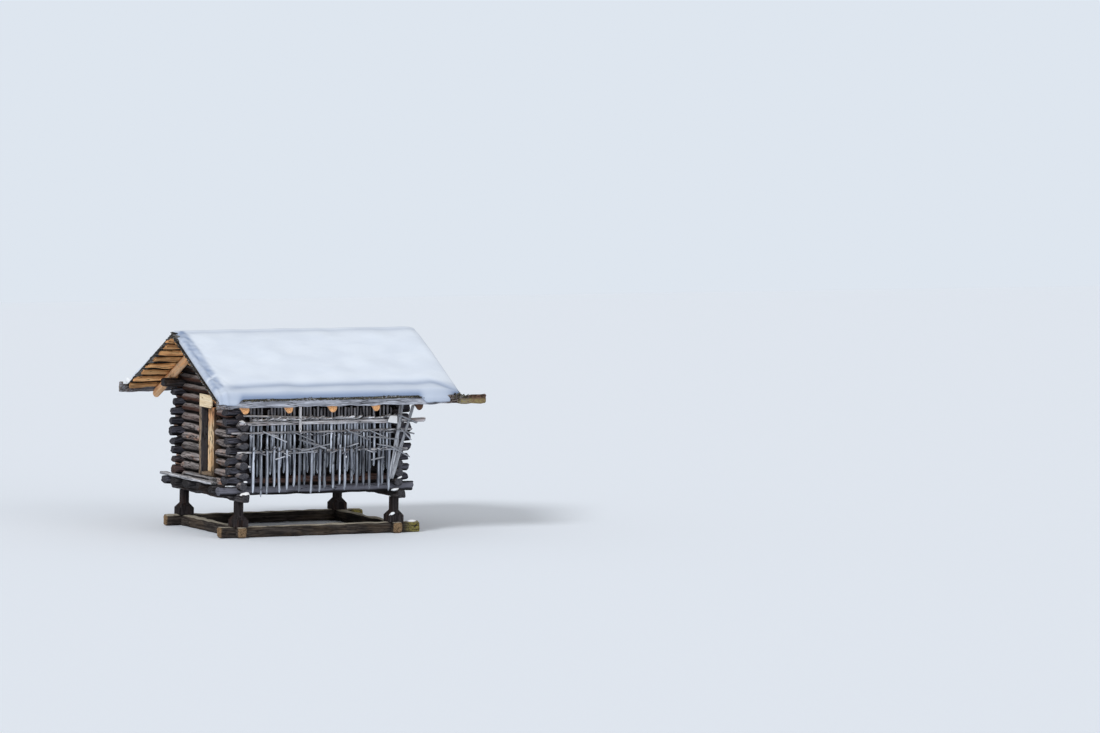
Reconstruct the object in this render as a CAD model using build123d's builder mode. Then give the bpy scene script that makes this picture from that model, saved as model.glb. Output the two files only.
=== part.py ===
from build123d import *
import math
import os

# Small log hay barn on four posts over a frame of sill logs, with snow on its gable roof
# and two rows of hay drying stakes hung along the near long wall.
# Millimetres, +Z up, the ridge along X. The door gable faces -X, the stakes face -Y.
# The origin is the middle of the footprint of the roof, on the ground.

# Walls of round logs, saddle notched at the corners
building_x = -300.0          # middle of the four walls; the near eave board runs on to +X
wall_length = 4060.0         # between the corner axes, along X
wall_width = 3200.0          # between the corner axes, along Y
log_size = 225.0             # across the flats of a wall log
log_sides = 12
course = 234.0               # from one log of a wall to the next one above it
course_count = 10            # round logs in a long wall, below the plate
log_end = 340.0              # how far a log runs past the corner axis
log_end_spread = 45.0        # how unevenly the ends were cut
near_end = 290.0             # gable logs are shorter where the stakes hang
near_end_spread = 18.0
top_near_end = 140.0         # above the rail they are cut shorter still
base_log_end = 540.0         # the lowest logs run on to carry the door platform
base_log_end_right = 480.0
fit = 0.3                    # what is left between two seated pieces

# Sill frame, posts and crossbeams
sill_size = 260.0
sill_edge = 42.0
end_bevel = 28.0             # axe bevel round the end of a squared timber
sill_end_left = 500.0
sill_end_right = 640.0
cross_sill_end = 250.0
shaft_size = 175.0
foot_size = 360.0
foot_straight = 165.0        # upright sides of the foot, below its shoulders
shoulder_height = 125.0
neck_flare = 22.0            # how far the hewn neck curves out to the shoulders
post_height = 600.0
crossbeam_width = 200.0
crossbeam_height = 190.0
crossbeam_edge = 22.0
crossbeam_near_end = 440.0
crossbeam_far_end = 550.0
beam_notch = 50.0            # the lowest logs are notched this far over the crossbeams

# Plates under the rafters
plate_width = 200.0
plate_height = 200.0
plate_end_left = 600.0
plate_end_right = 480.0

# Floor and door platform
joist_spacing = 733.0
joist_count = 4
joist_end_left = 520.0
joist_end_right = 440.0
board_thickness = 40.0
board_width = 235.0
board_gap = 4.0
wall_gap = 6.0               # between the floor and the walls
step_width = 205.0
step_thickness = 105.0
step_near_y = -580.0
step_far_y = 960.0
step_wall_gap = 14.0
step_edge = 12.0
platform_width = 180.0
platform_thickness = 62.0
platform_near_y = -1140.0
platform_far_y = 1870.0
platform_gap = 20.0
platform_edge = 8.0

# Door in the left gable
split_courses = 7            # gable logs that the doorway cuts through
door_width = 580.0           # clear, between the jambs
jamb_width = 160.0
jamb_depth = 212.0
jamb_edge = 10.0
door_sill_height = 78.0
door_head_height = 50.0
leaf_thickness = 35.0
leaf_gap = 6.0
stile_size = 60.0            # round hinge edge of the leaf
stile_web = 20.0             # flat part of the stile that the boards butt against
pin_size = 34.0
pin_length = 36.0
pin_clearance = 1.0
pin_end_clearance = 5.0
leaf_setback = 50.0          # leaf behind the wall axis
jamb_lip = 20.0              # jamb face behind the axis of the leaf
leaf_boards = 3
leaf_board_gap = 1.5
ledge_height = 95.0
ledge_thickness = 25.0
ledge_inset = 190.0          # from the ends of the leaf
ledge_short = 14.0           # ledge stops this far from the free edge
head_board_width = 720.0
head_board_height = 300.0
head_board_drop = 18.0       # below the underside of the log over the door
head_board_thickness = 30.0
head_board_bevel = 60.0      # skew cut of its near end

# Roof
roof_pitch = 27.8
ridge_z = 4620.0             # where the tops of the rafters would meet
roof_run = 2640.0            # half width over the rafter tails, in plan
verge_left = -3100.0         # from the middle of the walls
verge_right = 3280.0
rafter_size = 200.0
rafter_spacing = 1130.0
rafter_count = 5
first_rafter = -310.0        # from the left corner axis
batten_width = 240.0
batten_height = 60.0
batten_edge = 46.0
batten_count = 8
batten_inset = 160.0         # first batten below the ridge and last above the eave
batten_end_left = 30.0       # battens stop this far inside the verges
batten_end_right = 60.0
cover_thickness = 46.0
eave_board_height = 200.0
eave_board_thickness = 60.0
eave_board_edge = 14.0
eave_board_lap = 73.0        # how far the board reaches down over the rafter tails
near_eave_left = -3100.0     # from the middle of the walls
near_eave_right = 3900.0
far_eave_left = -3300.0
far_eave_right = 3280.0

# Snow on the roof
snow_near = 165.0            # depth over the near slope
snow_far = 105.0
snow_ridge = 80.0
snow_round = 330.0           # half width of the rounded ridge
snow_setback = 12.0          # foot of the lip behind the face of the eave board
snow_verge = 30.0            # snow stops this far inside the verges

# Rack of drying stakes on the near wall: rails in seats cut in the ends of the gable logs,
# the upper stakes behind the main rail, the lower ones in front of the lower rail
rail_y = 260.0               # main rail outside the corner axis
rail_size = 100.0
rail_seat = 85.0             # depth of its seat
rail_course = 6              # gable log that carries it
rail_left = -2170.0          # from the middle of the walls
rail_right = 2700.0
thin_rail_size = 50.0        # middle and lower rail
thin_rail_seat = 40.0
middle_rail_course = 5
middle_rail_left = -2350.0
middle_rail_right = 2380.0
lower_rail_course = 3
lower_rail_left = -2190.0
lower_rail_right = 2260.0
stake_width = 66.0
stake_depth = 50.0
stake_point = 190.0
stake_tip = 14.0
stakes_left = -1825.0        # from the middle of the walls
stakes_right = 1825.0
upper_places = 43
empty_places = (4, 14, 38)   # upper stakes that are missing
upper_top = 3080.0
upper_length = 1560.0
lower_count = 22
lower_top = 2130.0
lower_length = 1015.0
lower_inset = 45.0           # the row of lower stakes is shorter at both ends
lower_shift = 38.0           # how unevenly they are spaced
upper_shift = 4.0            # how unevenly the upper stakes are spaced and split
stake_lean = 0.9             # degrees
peg_size = 24.0
hook_reach = 150.0           # hook peg of an upper stake, in front of the stake
sprag_length = 70.0          # short peg that carries the loose pole

# Loose poles and boards on the rack
loose_pole_size = 40.0
loose_pole_left = -2030.0
loose_pole_right = 200.0
loose_pole_rise = 100.0      # its left end is this much higher
loose_pole_rests = (2, 12)   # upper stakes with a short peg under it
hanger_place = 14            # a short stake hangs where an upper one is missing
hanger_top = 3190.0
hanger_length = 700.0
brace_thickness = 25.0       # two slanted boards at the right end of the rails
brace_width = 120.0
front_brace_width = 85.0
brace_foot_x = 1800.0
brace_top_x = 2050.0
front_brace_top_x = 2340.0
brace_foot_z = 1340.0
brace_top_z = 3065.0
stick_size = 32.0
stick_drop = 270.0
stick_run = 640.0
stick_xs = (-1560.0, -830.0, 600.0, 1150.0)

os.makedirs("parts", exist_ok=True)

slope = math.radians(roof_pitch)
left_x = building_x - wall_length / 2
right_x = building_x + wall_length / 2
verge_left_x = building_x + verge_left
verge_right_x = building_x + verge_right
near_y = -wall_width / 2
far_y = wall_width / 2
beam_bottom_z = sill_size + post_height
beam_top_z = beam_bottom_z + crossbeam_height
base_log_z = beam_top_z - beam_notch + log_size / 2
base_top_z = base_log_z + log_size / 2
plate_z = base_log_z + course_count * course
half_log = log_size / 2
joist_ys = [(n - (joist_count - 1) / 2) * joist_spacing for n in range(joist_count)]
rafter_xs = [left_x + first_rafter + n * rafter_spacing for n in range(rafter_count)]


def long_log_z(n):
    return base_log_z + n * course


def gable_log_z(n):
    return long_log_z(n) + course / 2


def uneven(n, spread):
    # a repeatable offset between -spread and +spread
    return spread * math.sin(2.4 * n * n + 1.7 * n + 0.6)


def roof_z(y):
    # height of the plane on top of the rafters
    return ridge_z - abs(y) * math.tan(slope)


def save(node, name):
    node.part.label = name
    export_step(node.part, "parts/" + name + ".step")


def log_profile(size):
    RegularPolygon(size / 2, log_sides, major_radius=False, rotation=180 / log_sides)


def log_along_x(x_min, x_max, y, z, size):
    with BuildSketch(Plane(origin=(x_min, y, z), x_dir=(0, 1, 0), z_dir=(1, 0, 0))) as section:
        log_profile(size)
    extrude(section.sketch, amount=x_max - x_min)


def log_along_y(y_min, y_max, x, z, size):
    with BuildSketch(Plane(origin=(x, y_min, z), x_dir=(-1, 0, 0), z_dir=(0, 1, 0))) as section:
        log_profile(size)
    extrude(section.sketch, amount=y_max - y_min)


def beam_along_x(x_min, x_max, y, z, width, height, edge):
    with BuildSketch(Plane(origin=(x_min, y, z), x_dir=(0, 1, 0), z_dir=(1, 0, 0))) as section:
        Rectangle(width, height)
        chamfer(section.vertices(), edge)
    extrude(section.sketch, amount=x_max - x_min)


def beam_along_y(y_min, y_max, x, z, width, height, edge):
    with BuildSketch(Plane(origin=(x, y_min, z), x_dir=(-1, 0, 0), z_dir=(0, 1, 0))) as section:
        Rectangle(width, height)
        chamfer(section.vertices(), edge)
    extrude(section.sketch, amount=y_max - y_min)


def block(x_min, x_max, y_min, y_max, z_min, z_max, mode=Mode.ADD):
    middle = ((x_min + x_max) / 2, (y_min + y_max) / 2, (z_min + z_max) / 2)
    with Locations(middle):
        Box(x_max - x_min, y_max - y_min, z_max - z_min, mode=mode)


def bevel_ends(node, axis):
    chamfer(node.faces().filter_by(axis).edges(), end_bevel)


def upper_half_logs(spots):
    # the tops of the logs below, drawn as the saddles that the log above needs
    with Locations(*spots):
        log_profile(log_size + 2 * fit)
    with Locations(*spots):
        Rectangle(2 * log_size, course / 2, align=(Align.CENTER, Align.MAX), mode=Mode.SUBTRACT)


def saddles_for_long_logs(y, counts):
    # cut from logs that run along X, where the gable logs pass below them
    spots = [(x, gable_log_z(n)) for x in (left_x, right_x) for n in counts]
    with BuildSketch(Plane.XZ.offset(-y)) as saddles:
        upper_half_logs(spots)
    extrude(saddles.sketch, amount=log_size, both=True, mode=Mode.SUBTRACT)


def saddles_for_gable_logs(x, ys, counts):
    # cut from logs that run along Y, where the long logs pass below them
    spots = [(y, long_log_z(n)) for y in ys for n in counts]
    with BuildSketch(Plane.YZ.offset(x)) as saddles:
        upper_half_logs(spots)
    extrude(saddles.sketch, amount=log_size, both=True, mode=Mode.SUBTRACT)


def crossbeam_seats(y):
    # the lowest logs and the joists are notched over both crossbeams
    for x in (left_x, right_x):
        half = crossbeam_width / 2 + fit
        block(x - half, x + half, y - log_size, y + log_size, beam_bottom_z, beam_top_z + fit,
              mode=Mode.SUBTRACT)


# Sill logs, half lapped at the corners
sill_z = sill_size / 2
sill_half = sill_size / 2 + fit

for name, y in (("sill_near", near_y), ("sill_far", far_y)):
    with BuildPart() as long_sill:
        beam_along_x(left_x - sill_end_left, right_x + sill_end_right, y, sill_z,
                     sill_size, sill_size, sill_edge)
        bevel_ends(long_sill, Axis.X)
        for x in (left_x, right_x):
            block(x - sill_half, x + sill_half, y - sill_size, y + sill_size,
                  sill_z, sill_size + 1, mode=Mode.SUBTRACT)
    save(long_sill, name)

for name, x in (("sill_left", left_x), ("sill_right", right_x)):
    with BuildPart() as cross_sill:
        beam_along_y(near_y - cross_sill_end, far_y + cross_sill_end, x, sill_z,
                     sill_size, sill_size, sill_edge)
        bevel_ends(cross_sill, Axis.Y)
        for y in (near_y, far_y):
            block(x - sill_size, x + sill_size, y - sill_half, y + sill_half,
                  -1, sill_z + fit, mode=Mode.SUBTRACT)
    save(cross_sill, name)

# Posts: a square hewn shaft that flares out to a broad foot on the sill crossing.
# The outline is cut once from the front and once from the side, and the post is what both leave.
def post_outline():
    with BuildLine() as outline:
        foot_top = foot_straight
        neck = foot_straight + shoulder_height
        half_foot = foot_size / 2
        half_shaft = shaft_size / 2
        Polyline((0, 0), (half_foot, 0), (half_foot, foot_top))
        curve_foot = (half_shaft + neck_flare, neck - 1.5 * neck_flare)
        curve_top = (half_shaft, neck + neck_flare)
        Line((half_foot, foot_top), curve_foot)
        ThreePointArc(curve_foot, (half_shaft + neck_flare / 4, neck - neck_flare / 2), curve_top)
        Polyline(curve_top, (half_shaft, post_height), (0, post_height), (0, 0))
    make_face(outline.line)
    mirror(about=Plane.YZ)


post_places = (
    ("post_near_left", left_x, near_y), ("post_near_right", right_x, near_y),
    ("post_far_left", left_x, far_y), ("post_far_right", right_x, far_y))
for name, x, y in post_places:
    with BuildPart() as post:
        with BuildSketch(Plane(origin=(x, y, sill_size), x_dir=(1, 0, 0), z_dir=(0, -1, 0))):
            post_outline()
        extrude(amount=foot_size / 2, both=True)
        with BuildSketch(Plane(origin=(x, y, sill_size), x_dir=(0, 1, 0), z_dir=(1, 0, 0))):
            post_outline()
        extrude(amount=foot_size / 2, both=True, mode=Mode.INTERSECT)
    save(post, name)

# Crossbeams on the posts
for name, x in (("crossbeam_left", left_x), ("crossbeam_right", right_x)):
    with BuildPart() as crossbeam:
        beam_along_y(near_y - crossbeam_near_end, far_y + crossbeam_far_end, x,
                     beam_bottom_z + crossbeam_height / 2, crossbeam_width, crossbeam_height,
                     crossbeam_edge)
        bevel_ends(crossbeam, Axis.Y)
    save(crossbeam, name)

# Long walls
for name, y, seed in (("wall_near", near_y, 0), ("wall_far", far_y, 40)):
    with BuildPart() as long_wall:
        log_along_x(left_x - base_log_end, right_x + base_log_end_right, y, long_log_z(0), log_size)
        for n in range(1, course_count):
            log_along_x(left_x - log_end + uneven(n + seed, log_end_spread),
                        right_x + log_end + uneven(n + seed + 7, log_end_spread),
                        y, long_log_z(n), log_size)
        saddles_for_long_logs(y, range(course_count - 1))
        crossbeam_seats(y)
    save(long_wall, name)

# Squared plates on top of the long walls
for name, y in (("plate_near", near_y), ("plate_far", far_y)):
    with BuildPart() as plate:
        block(left_x - plate_end_left, right_x + plate_end_right, y - plate_width / 2,
              y + plate_width / 2, plate_z - plate_height / 2, plate_z + plate_height / 2)
        bevel_ends(plate, Axis.X)
        saddles_for_long_logs(y, [course_count - 1])
    save(plate, name)

# Rack rails, each as its middle line (y, z) and its size
rail_line_y = near_y - rail_y
upper_front_y = rail_line_y + rail_size / 2 + fit
thin_rail_y = upper_front_y - fit - thin_rail_size / 2


def rail_height(carrier, seat, size):
    return gable_log_z(carrier) + half_log - seat + size / 2


rail_z = rail_height(rail_course, rail_seat, rail_size)
middle_rail_z = rail_height(middle_rail_course, thin_rail_seat, thin_rail_size)
lower_rail_z = rail_height(lower_rail_course, thin_rail_seat, thin_rail_size)
rail_lines = (
    (rail_line_y, rail_z, rail_size),
    (thin_rail_y, middle_rail_z, thin_rail_size),
    (thin_rail_y, lower_rail_z, thin_rail_size))

# Gable walls
jamb_outer = door_width / 2 + jamb_width
rafter_drop = rafter_size / math.cos(slope)
split_rows = range(1, split_courses + 1)
whole_rows = [0] + list(range(split_courses + 1, course_count))


def gable_near_end(n, seed):
    if n > rail_course:
        return near_y - top_near_end
    return near_y - near_end + uneven(n + seed, near_end_spread)


def gable_far_end(n, seed):
    return far_y + log_end + uneven(n + seed + 12, log_end_spread)


def gable_cuts(x, ys, rows):
    saddles_for_gable_logs(x, ys, rows)
    if 0 in rows:
        saddles_for_gable_logs(x, joist_ys, [0])
    # room for the rack rails, and the ends bevelled under the rafters
    with BuildSketch(Plane.YZ.offset(x - log_size)) as room:
        for line_y, line_z, size in rail_lines:
            with Locations((line_y, line_z)):
                RegularPolygon(size / 2 + fit, 8, major_radius=False, rotation=22.5)
        for side in (-1, 1):
            y_out = side * roof_run
            y_in = side * (wall_width / 2 - log_size)
            Polygon((y_in, roof_z(y_in) - rafter_drop - wall_gap),
                    (y_out, roof_z(y_out) - rafter_drop - wall_gap),
                    (y_out, ridge_z), (y_in, ridge_z), align=None)
    extrude(room.sketch, amount=2 * log_size, mode=Mode.SUBTRACT)


with BuildPart() as gable_left:
    for n in whole_rows:
        log_along_y(gable_near_end(n, 11), gable_far_end(n, 11), left_x, gable_log_z(n), log_size)
    gable_cuts(left_x, (near_y, far_y), whole_rows)
save(gable_left, "gable_left_wall")

with BuildPart() as gable_left_near:
    for n in split_rows:
        log_along_y(gable_near_end(n, 11), -jamb_outer - fit, left_x, gable_log_z(n), log_size)
    gable_cuts(left_x, (near_y,), split_rows)
save(gable_left_near, "gable_left_beside_door_near")

with BuildPart() as gable_left_far:
    for n in split_rows:
        log_along_y(jamb_outer + fit, gable_far_end(n, 11), left_x, gable_log_z(n), log_size)
    gable_cuts(left_x, (far_y,), split_rows)
save(gable_left_far, "gable_left_beside_door_far")

with BuildPart() as gable_right:
    for n in range(course_count):
        log_along_y(gable_near_end(n, 42), gable_far_end(n, 42), right_x, gable_log_z(n), log_size)
    gable_cuts(right_x, (near_y, far_y), range(course_count))
save(gable_right, "gable_right_wall")

# Gable tops: shorter logs laid close, their ends cut to the slope of the roof
top_pitch = log_size + fit
first_top_z = gable_log_z(course_count)
top_count = int((ridge_z - first_top_z - half_log) // top_pitch) + 1


def roof_gable(lower):
    Polygon((-roof_run, roof_z(roof_run) - lower), (0, ridge_z - lower),
            (roof_run, roof_z(roof_run) - lower), (roof_run, ridge_z + log_size),
            (-roof_run, ridge_z + log_size), align=None)


def under_roof(x, lower):
    # takes away all that is above the roof plane, lowered by the given height
    with BuildSketch(Plane.YZ.offset(x - log_size)) as above:
        roof_gable(lower)
    extrude(above.sketch, amount=2 * log_size, mode=Mode.SUBTRACT)


for name, x in (("gable_left_top", left_x), ("gable_right_top", right_x)):
    with BuildPart() as gable_top:
        for n in range(top_count):
            z = first_top_z + n * top_pitch
            reach = (ridge_z - z + half_log) / math.tan(slope)
            reach = min(reach, wall_width / 2 + log_end / 2)
            log_along_y(-reach, reach, x, z, log_size)
        under_roof(x, fit)
        for y in (near_y, far_y):
            half = plate_width / 2 + fit
            block(x - log_size, x + log_size, y - half, y + half,
                  first_top_z - log_size, plate_z + plate_height / 2 + fit, mode=Mode.SUBTRACT)
        if x == right_x:
            # the last pair of rafters is let into the outer half of these logs
            with BuildSketch(Plane.YZ.offset(rafter_xs[-1] - rafter_size / 2 - fit)):
                roof_gable(rafter_drop + fit)
            extrude(amount=log_size, mode=Mode.SUBTRACT)
    save(gable_top, name)

# Floor: joists at the level of the lowest logs, and boards across them
with BuildPart() as floor_joists:
    for y in joist_ys:
        log_along_x(left_x - joist_end_left, right_x + joist_end_right, y, base_log_z, log_size)
    for y in joist_ys:
        crossbeam_seats(y)
save(floor_joists, "floor_joists")

floor_x_min = left_x + half_log + wall_gap
floor_x_max = right_x - half_log - wall_gap
floor_y = wall_width / 2 - half_log - wall_gap
board_count = round((floor_x_max - floor_x_min) / (board_width + board_gap))
board_step = (floor_x_max - floor_x_min + board_gap) / board_count
with BuildPart() as floor_boards:
    for n in range(board_count):
        x = floor_x_min + n * board_step
        block(x, x + board_step - board_gap, -floor_y, floor_y, base_top_z + fit,
              base_top_z + fit + board_thickness)
save(floor_boards, "floor_boards")

# Door platform: a thick step at the wall and a plank further out, on the ends of the joists
step_x = left_x - half_log - step_wall_gap
with BuildPart() as step:
    block(step_x - step_width, step_x, step_near_y, step_far_y, base_top_z + fit,
          base_top_z + fit + step_thickness)
    chamfer(step.edges().filter_by(Axis.Y), step_edge)
save(step, "door_step")

platform_x = step_x - step_width - platform_gap
with BuildPart() as platform:
    block(platform_x - platform_width, platform_x, platform_near_y, platform_far_y,
          base_top_z + fit, base_top_z + fit + platform_thickness)
    chamfer(platform.edges().filter_by(Axis.Y), platform_edge)
save(platform, "platform_plank")

# Door frame: jambs from the lowest gable log to the one over the door, a sill and a head
# between them
frame_bottom_z = gable_log_z(0) + half_log + fit
frame_top_z = gable_log_z(split_courses + 1) - half_log - fit
pivot_x = left_x + leaf_setback
jamb_x_max = pivot_x + jamb_lip
jamb_x_min = jamb_x_max - jamb_depth
pivot_y = door_width / 2 - leaf_gap - stile_size / 2
leaf_bottom_z = frame_bottom_z + door_sill_height + leaf_gap
leaf_top_z = frame_top_z - door_head_height - leaf_gap

for name, side in (("door_jamb_near", -1), ("door_jamb_far", 1)):
    with BuildPart() as jamb:
        y_in = side * door_width / 2
        y_out = side * jamb_outer
        block(jamb_x_min, jamb_x_max, min(y_in, y_out), max(y_in, y_out), frame_bottom_z, frame_top_z)
        chamfer(jamb.edges().filter_by(Axis.Z), jamb_edge)
    save(jamb, name)

pin_hole = pin_size / 2 + pin_clearance
pin_hole_depth = pin_length + pin_end_clearance - leaf_gap
frame_inner = door_width / 2 - fit
with BuildPart() as door_sill:
    block(jamb_x_min, jamb_x_max, -frame_inner, frame_inner, frame_bottom_z,
          frame_bottom_z + door_sill_height)
    with Locations((pivot_x, pivot_y, frame_bottom_z + door_sill_height)):
        Hole(pin_hole, pin_hole_depth)
save(door_sill, "door_sill")

with BuildPart() as door_head:
    block(jamb_x_min, jamb_x_max, -frame_inner, frame_inner, frame_top_z - door_head_height,
          frame_top_z)
    with Locations(Location((pivot_x, pivot_y, frame_top_z - door_head_height), (180, 0, 0))):
        Hole(pin_hole, pin_hole_depth)
save(door_head, "door_head")

# A fresh board nailed over the head of the door, its near end cut at an angle
board_z = gable_log_z(split_courses + 1) - half_log - head_board_drop
with BuildPart() as head_board:
    with BuildSketch(Plane(origin=(jamb_x_min - fit, 0, board_z), x_dir=(0, -1, 0), z_dir=(-1, 0, 0))):
        with BuildLine():
            half = head_board_width / 2
            Polyline((-half, 0), (half - head_board_bevel, 0), (half, head_board_bevel),
                     (half, head_board_height), (-half, head_board_height), close=True)
        make_face()
    extrude(amount=head_board_thickness)
save(head_board, "door_head_board")

# Door leaf: boards on two ledges, with a round hinge stile whose pins turn in sill and head
leaf_height = leaf_top_z - leaf_bottom_z
with BuildPart() as stile:
    with BuildSketch(Plane.XY.offset(leaf_bottom_z)):
        with Locations((pivot_x, pivot_y)):
            Circle(stile_size / 2)
        web_end = stile_size / 2 + stile_web
        with Locations((pivot_x, pivot_y - web_end / 2)):
            Rectangle(leaf_thickness, web_end)
    extrude(amount=leaf_height)
    with BuildSketch(Plane.XY.offset(leaf_bottom_z - pin_length)):
        with Locations((pivot_x, pivot_y)):
            Circle(pin_size / 2)
    extrude(amount=leaf_height + 2 * pin_length)
save(stile, "door_stile")

boards_y_max = pivot_y - stile_size / 2 - stile_web - fit
boards_y_min = -door_width / 2 + leaf_gap
leaf_board_step = (boards_y_max - boards_y_min + leaf_board_gap) / leaf_boards
with BuildPart() as door_boards:
    for n in range(leaf_boards):
        y = boards_y_min + n * leaf_board_step
        block(pivot_x - leaf_thickness / 2, pivot_x + leaf_thickness / 2,
              y, y + leaf_board_step - leaf_board_gap, leaf_bottom_z, leaf_top_z)
save(door_boards, "door_boards")

with BuildPart() as door_ledges:
    ledge_x = pivot_x + leaf_thickness / 2 + fit
    for z in (leaf_bottom_z + ledge_inset, leaf_top_z - ledge_inset - ledge_height):
        block(ledge_x, ledge_x + ledge_thickness, boards_y_min + ledge_short,
              pivot_y - stile_size / 2, z, z + ledge_height)
save(door_ledges, "door_ledges")

# Rafters: round poles that meet at the ridge and rest in a notch over the plates.
# Each slope has its own plane: across it is X, along it runs from the ridge to the eave.
tail_y = roof_run - fit


def slope_plane(side, depth):
    # origin on the ridge, z along the slope towards the eave, depth below the rafter tops
    down = Vector(0, side * math.cos(slope), -math.sin(slope))
    inward = Vector(0, -side * math.sin(slope), -math.cos(slope))
    return Plane(origin=Vector(0, 0, ridge_z) + inward * depth, x_dir=(1, 0, 0), z_dir=down)


for name, side in (("rafters_near", -1), ("rafters_far", 1)):
    with BuildPart() as rafters:
        start = slope_plane(side, rafter_size / 2)
        with BuildSketch(start.offset(-rafter_size)):
            with Locations(*[(x, 0) for x in rafter_xs]):
                log_profile(rafter_size)
        extrude(amount=roof_run / math.cos(slope) + 3 * rafter_size)
        y_ridge = side * fit / 2
        y_tail = side * tail_y
        y_far = side * 2 * roof_run
        block(verge_left_x, verge_right_x, min(y_ridge, -y_far), max(y_ridge, -y_far),
              0, 2 * ridge_z, mode=Mode.SUBTRACT)
        block(verge_left_x, verge_right_x, min(y_tail, y_far), max(y_tail, y_far),
              0, 2 * ridge_z, mode=Mode.SUBTRACT)
        y = side * wall_width / 2
        half = plate_width / 2 + fit
        block(left_x - plate_end_left - 50, right_x + plate_end_right + 50, y - half, y + half,
              plate_z - plate_height / 2, plate_z + plate_height / 2 + fit, mode=Mode.SUBTRACT)
    save(rafters, name)


def slope_spot(side, along, above):
    # a place in the YZ plane, turned to lie along the slope
    y = side * (along * math.cos(slope) + above * math.sin(slope))
    z = ridge_z - along * math.sin(slope) + above * math.cos(slope)
    return Pos(y, z) * Rot(Z=-side * roof_pitch)


# Battens: split poles on the rafters, their round side down, that carry the shingles
slope_length = roof_run / math.cos(slope)
batten_step = (slope_length - 2 * batten_inset) / (batten_count - 1)
for name, side in (("battens_near", -1), ("battens_far", 1)):
    with BuildPart() as battens:
        for n in range(batten_count):
            spot = slope_spot(side, batten_inset + n * batten_step, fit)
            x_min = verge_left_x + batten_end_left + uneven(n + side, 25)
            x_max = verge_right_x - batten_end_right + uneven(n + side + 5, 25)
            half = batten_width / 2
            flat = half - batten_edge
            with BuildSketch(Plane.YZ.offset(x_min)):
                with Locations(spot):
                    Polygon((-flat, 0), (flat, 0), (half, batten_edge), (half, batten_height),
                            (-half, batten_height), (-half, batten_edge), align=None)
            extrude(amount=x_max - x_min)
    save(battens, name)

# Roof cover of split shingles, one slab a slope, cut plumb at the ridge and at the eave board
cover_base = fit + batten_height + fit
cover_y = roof_run - fit
for name, side in (("roof_cover_near", -1), ("roof_cover_far", 1)):
    with BuildPart() as cover:
        with BuildSketch(Plane.YZ.offset(verge_left_x)):
            low = cover_base / math.cos(slope)
            high = (cover_base + cover_thickness) / math.cos(slope)
            with BuildLine():
                Polyline((side * fit / 2, ridge_z + low), (side * cover_y, roof_z(cover_y) + low),
                         (side * cover_y, roof_z(cover_y) + high),
                         (side * fit / 2, ridge_z + high), close=True)
            make_face()
        extrude(amount=verge_right_x - verge_left_x)
    save(cover, name)

# Eave boards on the rafter tails, in front of the cover; the near one runs on past the right verge
eave_top_z = roof_z(roof_run) - eave_board_lap + eave_board_height
eave_places = (
    ("eave_board_near", -1, near_eave_left, near_eave_right),
    ("eave_board_far", 1, far_eave_left, far_eave_right))
for name, side, x_min, x_max in eave_places:
    with BuildPart() as eave_board:
        beam_along_x(building_x + x_min, building_x + x_max, side * (roof_run + eave_board_thickness / 2),
                     eave_top_z - eave_board_height / 2, eave_board_thickness, eave_board_height,
                     eave_board_edge)
    save(eave_board, name)

# Snow: a blanket on each slope, rounded over the ridge, its blunt lip on top of the eave board
snow_base = (cover_base + cover_thickness + fit) / math.cos(slope)
with BuildPart() as snow:
    for side, depth in ((-1, snow_near), (1, snow_far)):
        y_out = roof_run + eave_board_thickness - snow_setback
        y_lip = roof_run - depth / 3
        lip_z = eave_top_z + fit
        with BuildSketch(Plane.YZ.offset(verge_left_x + snow_verge)):
            with BuildLine():
                crest = (side * fit / 2, ridge_z + snow_base + snow_ridge)
                bend = (side * snow_round, roof_z(snow_round) + snow_base + depth)
                middle = (side * snow_round / 2, (crest[1] + bend[1]) / 2 + snow_ridge / 6)
                lip_top = (side * y_lip, roof_z(y_lip) + snow_base + depth)
                lip_nose = (side * (y_out + snow_setback / 2), (lip_top[1] + lip_z) / 2)
                lip_foot = (side * y_out, lip_z)
                ThreePointArc(crest, middle, bend)
                Line(bend, lip_top)
                ThreePointArc(lip_top, lip_nose, lip_foot)
                Polyline(lip_foot, (side * cover_y, lip_z), (side * cover_y, roof_z(cover_y) + snow_base),
                         (side * fit / 2, ridge_z + snow_base - fit / 2), crest)
            make_face()
        extrude(amount=verge_right_x - verge_left_x - 2 * snow_verge)
save(snow, "roof_snow")

# Rack rails
def pole_between(start, end, size):
    along = (Vector(*end) - Vector(*start)).normalized()
    with BuildSketch(Plane(origin=start, x_dir=(0, 1, 0), z_dir=along)) as section:
        RegularPolygon(size / 2, 8, major_radius=False, rotation=22.5)
    extrude(section.sketch, amount=(Vector(*end) - Vector(*start)).length)


rail_spans = (
    (rail_left, rail_right), (middle_rail_left, middle_rail_right), (lower_rail_left, lower_rail_right))
with BuildPart() as rack_rails:
    for (x_min, x_max), (y, z, size) in zip(rail_spans, rail_lines):
        pole_between((building_x + x_min, y, z), (building_x + x_max, y, z), size)
save(rack_rails, "rack_rails")


def stake(x, y, top_z, length, lean, width):
    # a split pole with a hewn point at its foot, leaning a little along the wall: its outline is
    # cut from the front and from the side, and the pole is what both leave
    across = (math.cos(lean), 0, -math.sin(lean))
    views = (((0, -1, 0), across, width, Mode.ADD), (across, (0, 1, 0), stake_depth, Mode.INTERSECT))
    for facing, sideways, breadth, mode in views:
        half, half_tip, shaft = breadth / 2, stake_tip / 2, length - stake_point
        shoulder = Plane(origin=(x, y, top_z - shaft), x_dir=sideways, z_dir=facing)
        with BuildSketch(shoulder) as outline:
            Polygon((-half, 0), (-half_tip, -stake_point), (half_tip, -stake_point), (half, 0),
                    (half, shaft), (-half, shaft), align=None)
        extrude(outline.sketch, amount=stake_width, both=True, mode=mode)


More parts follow.
